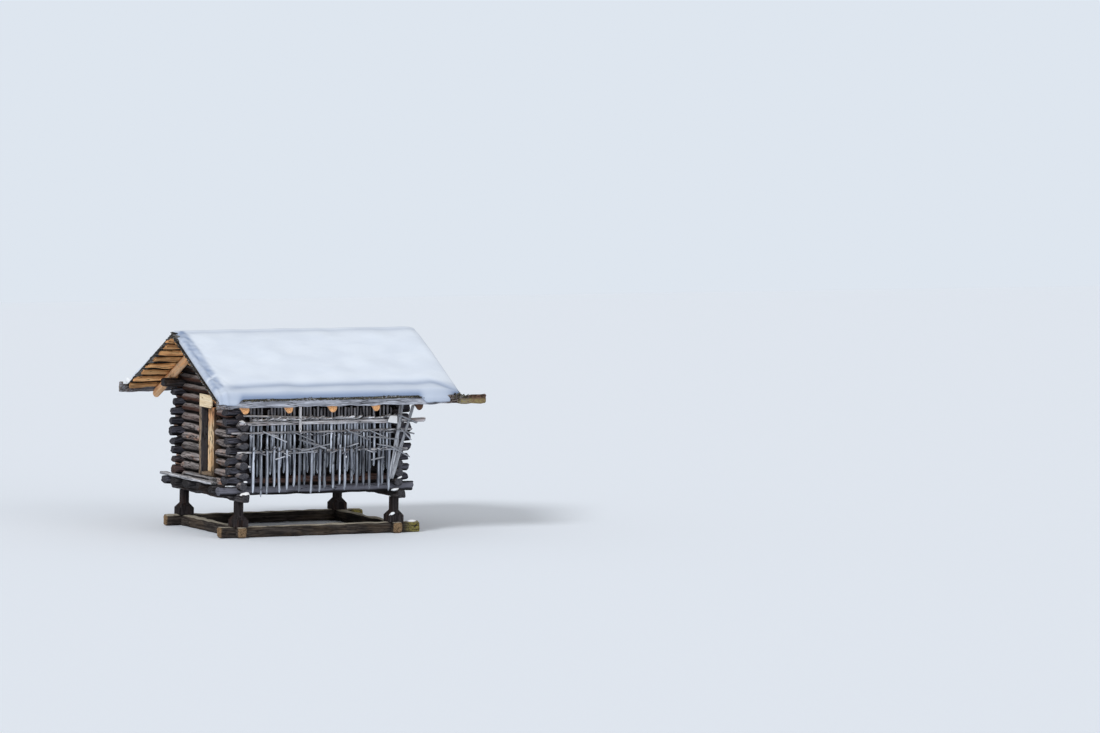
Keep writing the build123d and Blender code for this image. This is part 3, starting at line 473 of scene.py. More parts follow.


# Colours of the wood. Bands are painted light and shade across a piece: its own y or z, both ways
# or one, from, to, colour and share. "places" and "moss" give colour, share and spans of the
# object's x, y or z; the places that are painted shade say so.
gapShade, redBrown, sawnEnd = (0.008, 0.007, 0.007), (0.15, 0.06, 0.024), (0.5, 0.35, 0.2)
# painted light on the round logs: a painted highlight along the top, and painted shade in the gaps above
# and below each log
logLitTopsAndGapShade = ((2, False, 0.0, 0.07, (0.42, 0.39, 0.39), 0.5),
            (2, False, 0.088, 0.104, gapShade, 0.9),
            (2, False, -0.03, -0.075, gapShade, 0.97))
looks = {
    "gableLog": {
        "dark": (0.028, 0.021, 0.02), "light": (0.33, 0.295, 0.29), "vary": 1.0, "flakes": 0.8,
        "patch": (0.5, 0.24, 0.13), "patchShare": 0.5, "bands": logLitTopsAndGapShade,
        "end": (0.09, 0.093, 0.105), "endDark": (0.02, 0.02, 0.024),
        "places": (((0.055, 0.02, 0.012), 0.86, (2, 2.4, 2.8)),
                   # painted shade: the near ends of the logs, by the near corner, are darker and bluer
                   ((0.09, 0.09, 0.104), 0.75, (1, -1.45, -1.65)))},
    "wallLog": {
        "dark": (0.03, 0.03, 0.04), "light": (0.125, 0.128, 0.16), "vary": 0.7, "flakes": 0.5,
        "end": (0.1, 0.1, 0.115), "endDark": (0.022, 0.022, 0.027), "bands": logLitTopsAndGapShade[1:],
        "places": ((redBrown, 0.5, (2, 1.2, 1.26), (2, 1.5, 1.4), (0, -2.0, -1.7), (0, 1.6, 1.3)),
                   ((0.21, 0.215, 0.26), 0.55, (2, 1.24, 1.2)),
                   # painted shade: the logs behind the stakes, under the eave, are near black
                   ((0.015, 0.012, 0.012), 0.95, (2, 1.38, 1.5), (0, -2.35, -2.15), (0, 1.85, 1.65)))},
    "joist": {
        "dark": (0.02, 0.019, 0.022), "light": (0.1, 0.095, 0.1), "vary": 0.9, "flakes": 0.5,
        "patch": (0.12, 0.07, 0.04), "patchShare": 0.3,
        "end": (0.06, 0.058, 0.062), "endDark": (0.014, 0.013, 0.014)},
    "post": {
        "dark": (0.011, 0.009, 0.01), "light": (0.048, 0.042, 0.045), "bump": 0.012,
        "patch": (0.07, 0.03, 0.016), "patchShare": 0.35},
    "beam": {
        "dark": (0.018, 0.016, 0.018), "light": (0.09, 0.085, 0.09), "flakes": 0.4,
        "patch": (0.11, 0.065, 0.04), "patchShare": 0.35,
        "end": (0.08, 0.08, 0.09), "endDark": (0.02, 0.02, 0.024)},
    "sill": {
        "dark": (0.017, 0.014, 0.013), "light": (0.075, 0.064, 0.057),
        "patch": (0.12, 0.085, 0.055), "patchShare": 0.3,
        "end": (0.36, 0.25, 0.15), "endDark": (0.14, 0.085, 0.045),
        # painted highlight: the top face is lighter
        "bands": ((2, False, 0.112, 0.126, (0.5, 0.46, 0.38), 0.8),),
        "moss": (((0.3, 0.26, 0.07), 0.8, (0, 1.9, 2.2)),)},
    "stake": {
        "dark": (0.14, 0.155, 0.195), "light": (0.68, 0.745, 0.86), "vary": 1.0, "crack": 0.014,
        "hairShare": 0.3, "flakes": 0.15, "end": (0.42, 0.44, 0.48), "endDark": (0.2, 0.21, 0.24),
        # painted shade on the left and right sides of each stake
        "bands": ((1, True, 0.019, 0.032, (0.02, 0.02, 0.026), 0.85),),
        # painted shade: the tops under the eave are darker
        "places": (((0.15, 0.14, 0.145), 0.7, (2, 2.72, 2.95)),
                   # painted shade: the stakes further to the front are darker and bluer, in patches
                   ((0.2, 0.22, 0.265), 0.45, (1, -1.83, -1.87)))},
    "peg": {
        "dark": (0.5, 0.5, 0.53), "light": (0.96, 0.97, 1.0), "vary": 1.2, "flakes": 0.1,
        "end": (0.4, 0.38, 0.36)},
    "crossPeg": {
        "dark": (0.12, 0.12, 0.14), "light": (0.55, 0.57, 0.62), "vary": 1.5, "flakes": 0.2,
        "end": (0.3, 0.3, 0.3)},
    "hanger": {
        "dark": (0.6, 0.61, 0.64), "light": (0.92, 0.93, 0.97), "flakes": 0.05, "hairShare": 0.2},
    "rail": {
        "dark": (0.26, 0.255, 0.27), "light": (0.8, 0.81, 0.86), "flakes": 0.15,
        "patch": (0.28, 0.18, 0.16), "patchShare": 0.5, "end": (0.3, 0.28, 0.26)},
    "looseBoard": {
        "dark": (0.22, 0.23, 0.26), "light": (0.54, 0.57, 0.63), "vary": 0.6, "flakes": 0.1,
        "hairShare": 0.3, "end": (0.4, 0.4, 0.42)},
    "rafter": {
        "dark": (1.0, 0.52, 0.25), "light": (1.0, 0.7, 0.44), "vary": 0.2, "hairShare": 0.15,
        "patch": (0.5, 0.22, 0.09), "patchShare": 0.15, "crack": 0.01, "crackShare": 0.3,
        "end": (0.98, 0.56, 0.28), "endDark": (0.8, 0.38, 0.16), "rings": 450.0, "flakes": 0.05,
        # painted shade: the rafters towards the right end are dark
        "places": (((0.05, 0.028, 0.026), 0.93, (0, 1.3, 1.6)),)},
    "batten": {
        "dark": (0.7, 0.32, 0.12), "light": (1.0, 0.63, 0.3), "hairShare": 0.2, "flakes": 0.1,
        "patch": (0.2, 0.08, 0.04), "patchShare": 0.55,
        "end": (0.9, 0.5, 0.22), "endDark": (0.6, 0.28, 0.12),
        # painted shade: the battens are darker further in from the left overhang
        "places": (((0.26, 0.11, 0.05), 0.5, (0, -1.9, -1.3)),)},
    "cover": {"dark": (0.014, 0.012, 0.01), "light": (0.06, 0.05, 0.042)},
    "shingle": {
        "dark": (0.018, 0.016, 0.015), "light": (0.3, 0.295, 0.29), "vary": 1.6, "crackShare": 0.3,
        "end": (0.1, 0.095, 0.085), "moss": (((0.16, 0.14, 0.05), 0.6, (1, -2.5, -2.6)),)},
    "eave": {
        "dark": (0.19, 0.2, 0.235), "light": (0.5, 0.53, 0.61), "end": (0.24, 0.19, 0.12),
        "places": (((0.13, 0.085, 0.055), 0.7, (0, 2.4, 2.7)),
                   ((0.13, 0.055, 0.03), 0.7, (0, 3.0, 3.3))),
        "moss": (((0.02, 0.015, 0.01), 0.95, (0, 2.5, 2.7)),
                 ((0.42, 0.36, 0.16), 0.55, (0, 2.8, 3.0), (2, 3.3, 3.22)),
                 ((0.11, 0.075, 0.05), 0.85, (0, -2.9, -3.2)))},
    "fresh": {
        "dark": (0.74, 0.58, 0.37), "light": (0.9, 0.79, 0.6), "vary": 0.2, "flakes": 0.0,
        "crack": 0.01, "crackShare": 0.2, "knots": ((0.25, 0.14, 0.06), (2.5, 9, 9), 0.14),
        "moss": (((0.1, 0.1, 0.1), 0.9, (1, -0.44, -0.5), (2, 3.02, 3.08)),)},
    "jambFar": {
        "dark": (0.13, 0.105, 0.09), "light": (0.56, 0.42, 0.28), "vary": 0.2, "end": sawnEnd,
        "patch": (0.2, 0.17, 0.16), "patchShare": 0.7, "knots": ((0.03, 0.022, 0.02), (7, 18, 18), 0.34),
        # painted shade on both side faces of the jamb, in the reveal
        "bands": ((2, True, 0.05, 0.07, (0.045, 0.048, 0.06), 0.95),)},
    "jambNear": {
        "dark": (0.82, 0.5, 0.26), "light": (1.0, 0.84, 0.58), "flakes": 0.1, "end": sawnEnd,
        "patch": (0.5, 0.26, 0.12), "patchShare": 0.5, "knots": ((0.03, 0.015, 0.01), (5, 12, 12), 0.45),
        # painted shade on the side face of the jamb towards -Y, in the slot by the log ends
        "bands": ((2, False, -0.045, -0.066, (0.05, 0.032, 0.024), 0.92),),
        "places": (((0.5, 0.17, 0.06), 0.6, (2, 2.5, 2.8)),
                   ((0.06, 0.04, 0.03), 0.8, (2, 1.8, 1.4)))},
    "lintel": {"dark": (0.14, 0.1, 0.07), "light": (0.34, 0.27, 0.2), "end": sawnEnd},
    "leaf": {
        "dark": (0.85, 0.54, 0.28), "light": (1.0, 0.86, 0.62), "flakes": 0.1, "end": sawnEnd,
        "patch": (1.0, 0.8, 0.52), "patchShare": 0.5, "knots": ((0.02, 0.012, 0.01), (5, 13, 13), 0.37),
        "places": (((0.66, 0.26, 0.09), 0.6, (2, 2.4, 2.75)),)},
    "plank": {
        "dark": (0.22, 0.225, 0.245), "light": (0.55, 0.56, 0.6), "end": (0.3, 0.29, 0.29)},
    "floor": {"dark": (0.12, 0.1, 0.08), "light": (0.34, 0.29, 0.23), "end": (0.3, 0.25, 0.2)},
}
# the step: the plank's colours with a painted shadow over its front face
looks["step"] = {**looks["plank"], "bands": ((1, False, 0.086, 0.096, (0.012, 0.011, 0.012), 0.94),)}
looks["farLog"] = {**looks["wallLog"], "places": ((redBrown, 0.3, (2, 1.2, 1.26), (2, 1.7, 1.5)),)}
nodeLooks = ("post", "cover", "fresh")             # of CAD nodes alone
wood = {name: woodMaterial(name, look) for name, look in looks.items() if name not in nodeLooks}

snowLook = {
    "shade": (0.25, 0.32, 0.465), "rough": 0.6, "bump": 0.003,
    "fine": ((60, 60, 60), 4.0, 0.6), "soft": ((1.3, 2.6, 2.6), 2.0, 0.5), "softLevels": (0.35, 0.65),
}


def snowMaterial(name, light, pale):
    graph = Graph(name)
    place = graph.node("TexCoord", {}, {}, "Object")
    soft = graph.step(*snowLook["softLevels"], graph.noise(place, *snowLook["soft"]))
    # the snow's colour, mixed towards a painted blue shade by the shade attribute
    colour = graph.mix(graph.attribute("shade"), graph.mix(soft, light, pale), snowLook["shade"])
    return graph.finish(colour, snowLook["rough"], graph.noise(place, *snowLook["fine"]), snowLook["bump"])


# one snow in two copies: the blanket's, and a brighter one for the heaps, which is painted light where they
# lie in shade under the eave
snow = snowMaterial("snow", (0.675, 0.74, 0.84), (0.71, 0.775, 0.87))
litHeapSnow = snowMaterial("snowHeap", (0.92, 0.95, 0.99), (0.97, 0.98, 1.0))
print("materials made")


# Round logs of the walls: one bar for each solid, as thick as the course is high
def lineOf(part, axis):
    # the middle line of a solid's box along one axis, and the size of the box
    low, high = boxOf(part)
    start, end = (low + high) / 2, (low + high) / 2
    start[axis], end[axis] = low[axis], high[axis]
    return start, end, high - low


logSize = {"radius": 0.1155, "spread": 0.004, "bow": 0.012, "taper": 0.07, "ringStep": 0.09}
logForm = {"wobble": 0.013, "sides": 20}
logEnds = {"skew": 0.2, "ragged": 0.014, "thin": 0.3}
gableTop = {"past": 0.02, "ringStep": 0.06, "seed": 700}


def logBars(node, axis):
    bars = []
    for number, part in enumerate(solids(node)):
        start, end, box = lineOf(part, axis)
        size = 2 * (logSize["radius"] + logSize["spread"] * math.sin(5 * number + len(node)))
        rings = max(10, int(box[axis] / logSize["ringStep"]))
        bars.append(bar(start, end, size, size, 100 * len(node) + number, rings=rings,
                        bow=logSize["bow"] * math.sin(3 * number), taper=logSize["taper"] * (-1) ** number,
                        **logForm, **logEnds))
    return bars


def gableTopBars(node):
    # shorter logs whose ends follow the slope of the roof
    wallX = corners(node.replace("_top", "_wall"))[:, 0]
    x = (wallX.min() + wallX.max()) / 2
    size = 2 * (logSize["radius"] + logSize["spread"])
    cut = np.array((0, math.sin(slope), math.cos(slope)))
    bars = []
    for number, part in enumerate(solids(node)):
        low, high = boxOf(part)
        z = low[2] + logSize["radius"]
        reach = min((rafterRidge - z) / math.tan(slope), high[1] + gableTop["past"])
        rings = max(8, int(reach / gableTop["ringStep"]))
        bars.append(bar((x, -reach, z), (x, reach, z), size, size, gableTop["seed"] + number + len(node),
                        rings=rings, startNormal=cut * (1, -1, 1), endNormal=cut, **logForm))
    return bars


for node, look in (("wall_near", "wallLog"), ("wall_far", "farLog")):
    makePiece(node.replace("wall", "wall_logs"), logBars(node, 0), wood[look], nodes=(node,))
for node in ("gable_left_wall", "gable_left_beside_door_near", "gable_left_beside_door_far",
             "gable_right_wall"):
    makePiece(node + "_logs", logBars(node, 1), wood["gableLog"], nodes=(node,))
for node in ("gable_left_top", "gable_right_top"):
    makePiece(node + "_logs", gableTopBars(node), wood["gableLog"], nodes=(node,))
makePiece("floor_joist_logs", logBars("floor_joists", 0), wood["joist"], nodes=("floor_joists",))
print("logs made")


# Squared timbers and boards: one boxy bar for each solid, along its longest side
timber = {"power": 7.0, "sides": 28, "wobble": 0.004, "skew": 0.03}
timberStep = 0.12                                  # from ring to ring


def boardBars(node, axis, seed, **more):
    bars = []
    for number, part in enumerate(solids(node)):
        start, end, box = lineOf(part, axis)
        width, height = np.delete(box, axis)
        rings = max(6, int(box[axis] / timberStep))
        up = (0, 1, 0) if axis == 2 else (0, 0, 1)
        board = bar(start, end, width, height, seed + number, up=up, rings=rings, **{**timber, **more})
        board["places"][:, 2] = np.maximum(board["places"][:, 2], 0.0)     # the sills lie flat
        bars.append(board)
    return bars


hewn = {"power": 4.5, "wobble": 0.014, "edge": 0.025, "ragged": 0.012}
weathered = {"wobble": 0.006, "power": 5.0, "ragged": 0.008}
# Each board: its node, the axis of its length, look, slot, and what differs from the usual timber
boardPieces = (
    ("sill_near", 0, "sill", "sill_wood", hewn), ("sill_far", 0, "sill", "sill_wood", hewn),
    ("sill_left", 1, "sill", "sill_wood", hewn), ("sill_right", 1, "sill", "sill_wood", hewn),
    ("crossbeam_left", 1, "beam", "post_wood", hewn), ("crossbeam_right", 1, "beam", "post_wood", hewn),
    ("plate_near", 0, "beam", "wall_logs", hewn), ("plate_far", 0, "beam", "wall_logs", hewn),
    ("floor_boards", 1, "floor", "floor_wood", {}),
    ("door_step", 1, "step", "platform_wood", weathered),
    ("platform_plank", 1, "plank", "platform_wood", weathered),
    ("door_jamb_near", 2, "jambNear", "door_frame_wood", {}),
    ("door_jamb_far", 2, "jambFar", "door_frame_wood", {}),
    ("door_sill", 1, "lintel", "door_frame_wood", {}), ("door_head", 1, "lintel", "door_frame_wood", {}),
    ("eave_board_near", 0, "eave", "eave_wood", weathered),
    ("eave_board_far", 0, "eave", "eave_wood", weathered),
)
boardSeeds = {"timbers": 2000, "step": 40, "leaf": 3000}
leafForm = {"wobble": 0.001, "edge": 0.003}
for number, (node, axis, look, slotName, more) in enumerate(boardPieces):
    seed = boardSeeds["timbers"] + boardSeeds["step"] * number
    makePiece(node + "_timber", boardBars(node, axis, seed, **more), wood[look], nodes=(node,))
for node, axis in (("door_boards", 2), ("door_ledges", 1)):
    makePiece(node + "_planks", boardBars(node, axis, boardSeeds["leaf"] + len(node), **leafForm),
              wood["leaf"], body="door", nodes=(node,))
print("timbers made")


# Rafters and battens
rafter = {"seed": 4000, "taper": 0.08, "form": {"sides": 20, "wobble": 0.005}}
batten = {"seed": 4200, "bow": 0.02,
          "form": {"power": 2.8, "rings": 44, "wobble": 0.009, "skew": 0.3, "ragged": 0.02}}


def rafterBars(node, side):
    # each rafter's middle line lies half its thickness below the roof plane; both ends are plumb
    bars = []
    for number, part in enumerate(solids(node)):
        low, high = boxOf(part)
        size = high[0] - low[0]
        x, top = (low[0] + high[0]) / 2, rafterRidge - size / 2 / math.cos(slope)
        y = max(-low[1], high[1])
        bars.append(bar((x, 0, top), (x, side * y, top - y * math.tan(slope)), size, size,
                        rafter["seed"] + 10 * number + side, startNormal=(0, side, 0),
                        endNormal=(0, side, 0), taper=rafter["taper"] * math.sin(4 * number),
                        **rafter["form"]))
    return bars


def battenBars(node, side):
    # split poles as wide as their solids, across the slope
    down = np.array((0, side * math.cos(slope), -math.sin(slope)))
    up = np.array((0, side * math.sin(slope), math.cos(slope)))
    bars = []
    for number, part in enumerate(solids(node)):
        low, high = boxOf(part)
        along, above = part @ down, part @ up
        middle = down * (along.min() + along.max()) / 2 + up * (above.min() + above.max()) / 2
        bars.append(bar(middle + (low[0], 0, 0), middle + (high[0], 0, 0), np.ptp(along), np.ptp(above),
                        batten["seed"] + 10 * number + side, up=up,
                        bow=batten["bow"] * math.sin(4 * number + side), **batten["form"]))
    return bars


for side, word in ((-1, "near"), (1, "far")):
    makePiece("rafter_poles_" + word, rafterBars("rafters_" + word, side), wood["rafter"],
              nodes=("rafters_" + word,))
    makePiece("batten_poles_" + word, battenBars("battens_" + word, side), wood["batten"],
              nodes=("battens_" + word,))
print("roof frame made")


# Rack: rails, stakes with their pegs, and loose poles
def spineOf(part):
    # The middle line of a long solid and its size across: its corners seen along their main
    # directions, from the longest to the shortest.
    centre = (part.min(axis=0) + part.max(axis=0)) / 2
    directions = np.linalg.svd(part - part.mean(axis=0), full_matrices=False)[2]
    spans = (part - centre) @ directions.T
    low, high = spans.min(axis=0), spans.max(axis=0)
    centre = centre + ((low + high) / 2) @ directions
    half = directions[0] * (high[0] - low[0]) / 2
    if half[0] < 0:
        half = -half
    return centre - half, centre + half, directions[2], (high - low)[1:]


pole = {"sides": 14, "leastRings": 12, "ringStep": 0.08}


def poleBars(parts, seed, **more):
    bars = []
    for number, part in enumerate(parts):
        start, end, thin, (width, height) = spineOf(part)
        rings = max(pole["leastRings"], int(np.linalg.norm(end - start) / pole["ringStep"]))
        bars.append(bar(start, end, width, height, seed + number, rings=rings, sides=pole["sides"],
                        up=thin, **more))
    return bars


rail = {"seed": 5000, "sag": 0.008, "wobble": 0.005, "taper": 0.15, "skew": 0.2, "ragged": 0.01}
makePiece("rack_rail_poles", poleBars(solids("rack_rails"), **rail), wood["rail"],
          nodes=("rack_rails",))

# Stakes: the hook pegs are where the solids say. Cross pegs, drawn here alone, stand out at two
# rows of the upper stakes and at the tops of the lower ones.
stakeSize = {
    "depth": 0.05, "wide": (0.9, 1.2), "hungWide": (0.72, 1.08),     # wide: share of the solid's width
    "topBand": 0.03, "footBand": 0.02, "bow": 0.012, "upperSeed": 5100, "lowerSeed": 5700,
}
# Pegs: pairs are the least and the most of a random draw, and "fronts" are how far the left and
# the right end stand out. "proud" and "tipBand" find the corners at the tip of a solid's hook peg.
hookPeg = {"size": 0.042, "rise": (0.03, 0.1), "slip": (0.02, 0.14), "proud": 0.02, "tipBand": 0.01,
           "past": 0.01, "seed": 200}
crossSize = {"size": 0.032, "thinnest": 0.7, "reach": 0.11, "seed": 300, "rowSeed": 50}
upperCross = {"rows": (2.43, 2.02), "shift": (-0.035, 0.035), "lean": (-0.025, 0.03),
              "reach": (0.5, 0.95), "share": (0.3, 1.0), "fronts": (0.004, 0.012), "further": 0.03}
lowerCross = {"below": (0.06, 0.12), "lean": (-0.04, 0.05), "reach": (0.6, 1.1), "fronts": (0.006, 0.02)}
stakeForm = {"up": (0, 1, 0), "point": 0.1, "tip": 0.35, "power": 3.0, "sides": 12, "rings": 22,
             "wobble": 0.002, "skew": 0.3, "edge": 0.006}
pegForm = {"rings": 4, "sides": 8, "wobble": 0.001, "edge": 0.004, "skew": 0.3}


def pegBar(start, end, size, seed):
    return bar(start, end, size, size, seed, **pegForm)


def crossPeg(x, z, reach, lean, fronts, seed, chance):
    # a short peg across a stake; its right end stands further out than its left one
    size = crossSize["size"] * chance.uniform(crossSize["thinnest"], 1.0)
    return pegBar((x - reach, fronts[0], z - lean), (x + reach, fronts[1], z + lean), size, seed)


def upperPegs(part, foot, top, y, seed, chance):
    # the hook peg over the rail and the cross pegs of both rows
    front = y - stakeSize["depth"] / 2
    proud = part[part[:, 1] < front - hookPeg["proud"]]
    hookX, hookY, hookZ = proud[proud[:, 1] < proud[:, 1].min() + hookPeg["tipBand"]].mean(axis=0)
    rise, slip = chance.uniform(*hookPeg["rise"]), chance.uniform(*hookPeg["slip"])
    hook = pegBar((hookX - slip / 3, y, hookZ), (hookX + slip, hookY - hookPeg["past"], hookZ + rise),
                  hookPeg["size"], seed + hookPeg["seed"])
    crosses = []
    for row, height in enumerate(upperCross["rows"]):
        lean = chance.uniform(*upperCross["lean"])
        reach = crossSize["reach"] * chance.uniform(*upperCross["reach"])
        x = foot[0] + (top[0] - foot[0]) * (height - foot[2]) / (top[2] - foot[2])
        z = height + chance.uniform(*upperCross["shift"])
        reach = reach * chance.uniform(*upperCross["share"])
        left, right = upperCross["fronts"]
        fronts = (front - left, front - right - upperCross["further"] * row)
        pegSeed = seed + crossSize["seed"] + crossSize["rowSeed"] * row
        crosses.append(crossPeg(x, z, reach, lean, fronts, pegSeed, chance))
    return hook, crosses


def lowerPeg(top, y, seed, chance):
    z = top[2] - chance.uniform(*lowerCross["below"])
    reach = crossSize["reach"] * chance.uniform(*lowerCross["reach"])
    lean = chance.uniform(*lowerCross["lean"])
    fronts = [y - stakeSize["depth"] / 2 - front for front in lowerCross["fronts"]]
    return crossPeg(top[0], z, reach, lean, fronts, seed + crossSize["seed"], chance)


def stakeBars(node, seed, hung):
    # hung: the stakes stand behind their rail and their hook pegs point to the front
    chance = np.random.default_rng(seed)
    bars, hooks, crosses = [], [], []
    for number, part in enumerate(solids(node)):
        low, high = boxOf(part)
        topCorners = part[part[:, 2] > high[2] - stakeSize["topBand"]]
        footX = part[part[:, 2] < low[2] + stakeSize["footBand"]].mean(axis=0)[0]
        topX = topCorners.mean(axis=0)[0]
        y = high[1] - stakeSize["depth"] / 2 if hung else low[1] + stakeSize["depth"] / 2
        foot, top = (footX, y, low[2]), (topX, y, high[2])
        width = np.ptp(topCorners[:, 0]) * chance.uniform(*stakeSize["hungWide" if hung else "wide"])
        bars.append(bar(foot, top, width, stakeSize["depth"], seed + number,
                        bow=stakeSize["bow"] * math.sin(2.3 * number), **stakeForm))
        if hung:
            hook, pair = upperPegs(part, foot, top, y, seed + number, chance)
            hooks.append(hook)
            crosses += pair
        else:
            crosses.append(lowerPeg(top, y, seed + number, chance))
    return bars, hooks, crosses


upperStakes, hookPegs, upperCrosses = stakeBars("stakes_upper", stakeSize["upperSeed"], True)
lowerStakes, _, lowerCrosses = stakeBars("stakes_lower", stakeSize["lowerSeed"], False)
makePiece("stakes_upper_poles", upperStakes, wood["stake"], nodes=("stakes_upper",))
makePiece("stakes_lower_poles", lowerStakes, wood["stake"], nodes=("stakes_lower",))
makePiece("stake_hook_pegs", hookPegs, wood["peg"])
makePiece("stake_cross_pegs", upperCrosses + lowerCrosses, wood["crossPeg"])

# Loose poles and boards, and the sticks that stand out at the rack: two ends and the size. The
# short stake that hangs from the rail is the deepest solid, and the pale pole the longest along X.
looseSticks = (
    ((1.6, -1.97, 2.49), (2.07, -1.98, 2.39), 0.042), ((1.7, -1.97, 2.53), (1.99, -1.98, 2.24), 0.042),
    ((1.45, -1.975, 2.1), (1.95, -1.99, 1.84), 0.042), ((1.62, -1.98, 2.87), (2.13, -1.99, 2.65), 0.06),
    ((0.3, -1.95, 2.12), (0.62, -1.96, 2.2), 0.036), ((-1.2, -1.93, 1.99), (-0.55, -1.94, 2.03), 0.036),
    ((-1.55, -1.93, 1.86), (-1.3, -1.95, 1.93), 0.036), ((0.95, -1.95, 1.79), (1.28, -1.96, 1.85), 0.036),
    ((-0.95, -1.96, 2.33), (-0.25, -1.97, 2.1), 0.065), ((-0.9, -1.98, 2.05), (-0.15, -1.98, 2.2), 0.04),
    ((0.85, -1.9, 2.35), (1.62, -1.93, 2.27), 0.045), ((1.1, -1.93, 2.16), (1.75, -1.96, 2.05), 0.04),
)
looseSeeds = {"boards": 5500, "palePole": 5520, "hanger": 5530, "hangerPeg": 5531, "sticks": 5540}
hangerForm = {"up": (0, 1, 0), "point": 0.08, "tip": 0.4, "power": 3.0, "wobble": 0.002, "edge": 0.006}
hangerPeg = {"from": 0.29, "to": 0.3, "size": 0.024}       # heights above the foot of the short stake
palePoleForm = {"rings": 24, "sides": 14, "wobble": 0.003, "skew": 0.25}
palePoleGrow = 1.2                                 # thicker than its solid
stickForm = {"rings": 8, "sides": 10, "wobble": 0.003, "skew": 0.3, "edge": 0.005}
stickFlat = 0.8                                    # height by width
looseForm = {"wobble": 0.003, "power": 2.6, "skew": 0.25, "edge": 0.006, "ragged": 0.01}


def takeWidest(parts, axis):
    return parts.pop(max(range(len(parts)), key=lambda number: np.ptp(parts[number][:, axis])))


def paleSticks(hanger, palePole):
    low, high = boxOf(hanger)
    x, y = hanger[:, 0].mean(), low[1] + stakeSize["depth"] / 2
    start, end, thin, size = spineOf(palePole)
    stake = bar((x, y, low[2]), (x, y, high[2]), high[0] - low[0], stakeSize["depth"],
                looseSeeds["hanger"], **hangerForm)
    peg = pegBar((x, y, low[2] + hangerPeg["from"]), (x, high[1], low[2] + hangerPeg["to"]),
                 hangerPeg["size"], looseSeeds["hangerPeg"])
    paleBar = bar(start, end, *(palePoleGrow * size), looseSeeds["palePole"], up=thin, **palePoleForm)
    return [stake, peg, paleBar]


loosePoles = solids("rack_poles")
hanger = takeWidest(loosePoles, 1)
palePole = takeWidest(loosePoles, 0)
makePiece("rack_pale_sticks", paleSticks(hanger, palePole), wood["hanger"])
boards = poleBars(loosePoles, looseSeeds["boards"], **looseForm)
sticks = [bar(start, end, size, size * stickFlat, looseSeeds["sticks"] + number, **stickForm)
          for number, (start, end, size) in enumerate(looseSticks)]
makePiece("rack_loose_poles", boards + sticks, wood["looseBoard"], nodes=("rack_poles",))
print("rack made")


# Shingle ends, each a start, an end, a width and its form: short boards that show past the cover
# at both verges, torn ends on the ridge by the left verge and in a tuft on the end of the near
# eave board, and a fringe over that board. Pairs are the least and the most of a random draw.
shingle = {"thick": 0.016, "deep": 0.14, "seed": 6000}
verge = {"wide": 0.11, "narrowest": 0.6, "step": 0.085, "fromRidge": 0.04, "fromEave": 0.05,
         "layers": 2, "rise": 0.02, "below": 0.022, "outLeft": 0.032, "outRight": 0.008,
         "shift": (-0.02, 0.02), "lift": (-0.004, 0.004)}
apex = {"count": 16, "step": 0.022, "wide": 0.07, "in": (0.08, 0.2), "lift": (0.0, 0.045), "drop": 0.01,
        "out": (-0.02, 0.03), "turn": (-0.04, 0.04)}
tuft = {"before": 0.26, "past": 0.1, "step": 0.013, "wide": (0.02, 0.05), "behind": 0.03, "out": 0.07,
        "further": (0, 0.02), "height": (-0.12, 0.01), "lean": (-0.06, 0.08), "rise": (-0.03, 0.07)}
fringe = {"left": vergeLeft + 0.42, "right": vergeRight - 1.0, "step": 0.045, "layers": 4, "pitch": 0.5,
          "out": 0.085, "below": 0.034, "rise": 0.017, "in": 0.012, "wide": (0.8, 1.7),
          "shift": (-0.015, 0.015), "lift": (-0.008, 0.01), "depth": (-0.012, 0.016)}
shingleForm = {"rings": 3, "sides": 8, "edge": 0.003}
eaveForm = {"power": 5.0, "wobble": 0.003, "skew": 0.4}


def slopeUp(side):
    return (0, side * math.sin(slope), math.cos(slope))


def vergeEnds(chance):
    ends = []
    middle = (coverRidge - shingle["thick"]) - verge["below"] / math.cos(slope)
    for side in (-1, 1):
        form = {"up": slopeUp(side), "power": 6.0, "wobble": 0.002, "skew": 0.35}
        for x, sign, most in ((vergeLeft, -1, verge["outLeft"]), (vergeRight, 1, verge["outRight"])):
            for layer in range(verge["layers"]):
                for run in np.arange(verge["fromRidge"], eaveY - verge["fromEave"], verge["step"]):
                    out = chance.uniform(0.0, most)
                    y = side * (run + chance.uniform(*verge["shift"]))
                    z = (middle - abs(y) * math.tan(slope) + (layer - 0.5) * verge["rise"]
                         + chance.uniform(*verge["lift"]))
                    ends.append(((x - sign * shingle["deep"], y, z), (x + sign * out, y, z),
                                 verge["wide"] * chance.uniform(verge["narrowest"], 1.0), form))
    return ends


def ridgeEnds(chance):
    # at the left end of the ridge, where no snow lies
    ends = []
    form = {"up": slopeUp(-1), "power": 6.0, "wobble": 0.003, "skew": 0.5}
    for number in range(apex["count"]):
        run = apex["step"] * number
        x = vergeLeft + chance.uniform(*apex["in"])
        z = coverRidge - run * math.tan(slope) + chance.uniform(*apex["lift"])
        tip = (vergeLeft - chance.uniform(*apex["out"]), -run + chance.uniform(*apex["turn"]), z)
        ends.append(((x, -run, z - apex["drop"]), tip, apex["wide"], form))
    return ends


def tuftEnds(chance, bottom):
    ends = []
    for x in np.arange(vergeRight - tuft["before"], vergeRight + tuft["past"], tuft["step"]):
        z = bottom + chance.uniform(*tuft["height"])
        tip = (x + chance.uniform(*tuft["lean"]), -eaveY - tuft["out"] - chance.uniform(*tuft["further"]),
               z + chance.uniform(*tuft["rise"]))
        ends.append(((x, -eaveY + tuft["behind"], z), tip, chance.uniform(*tuft["wide"]), eaveForm))
    return ends


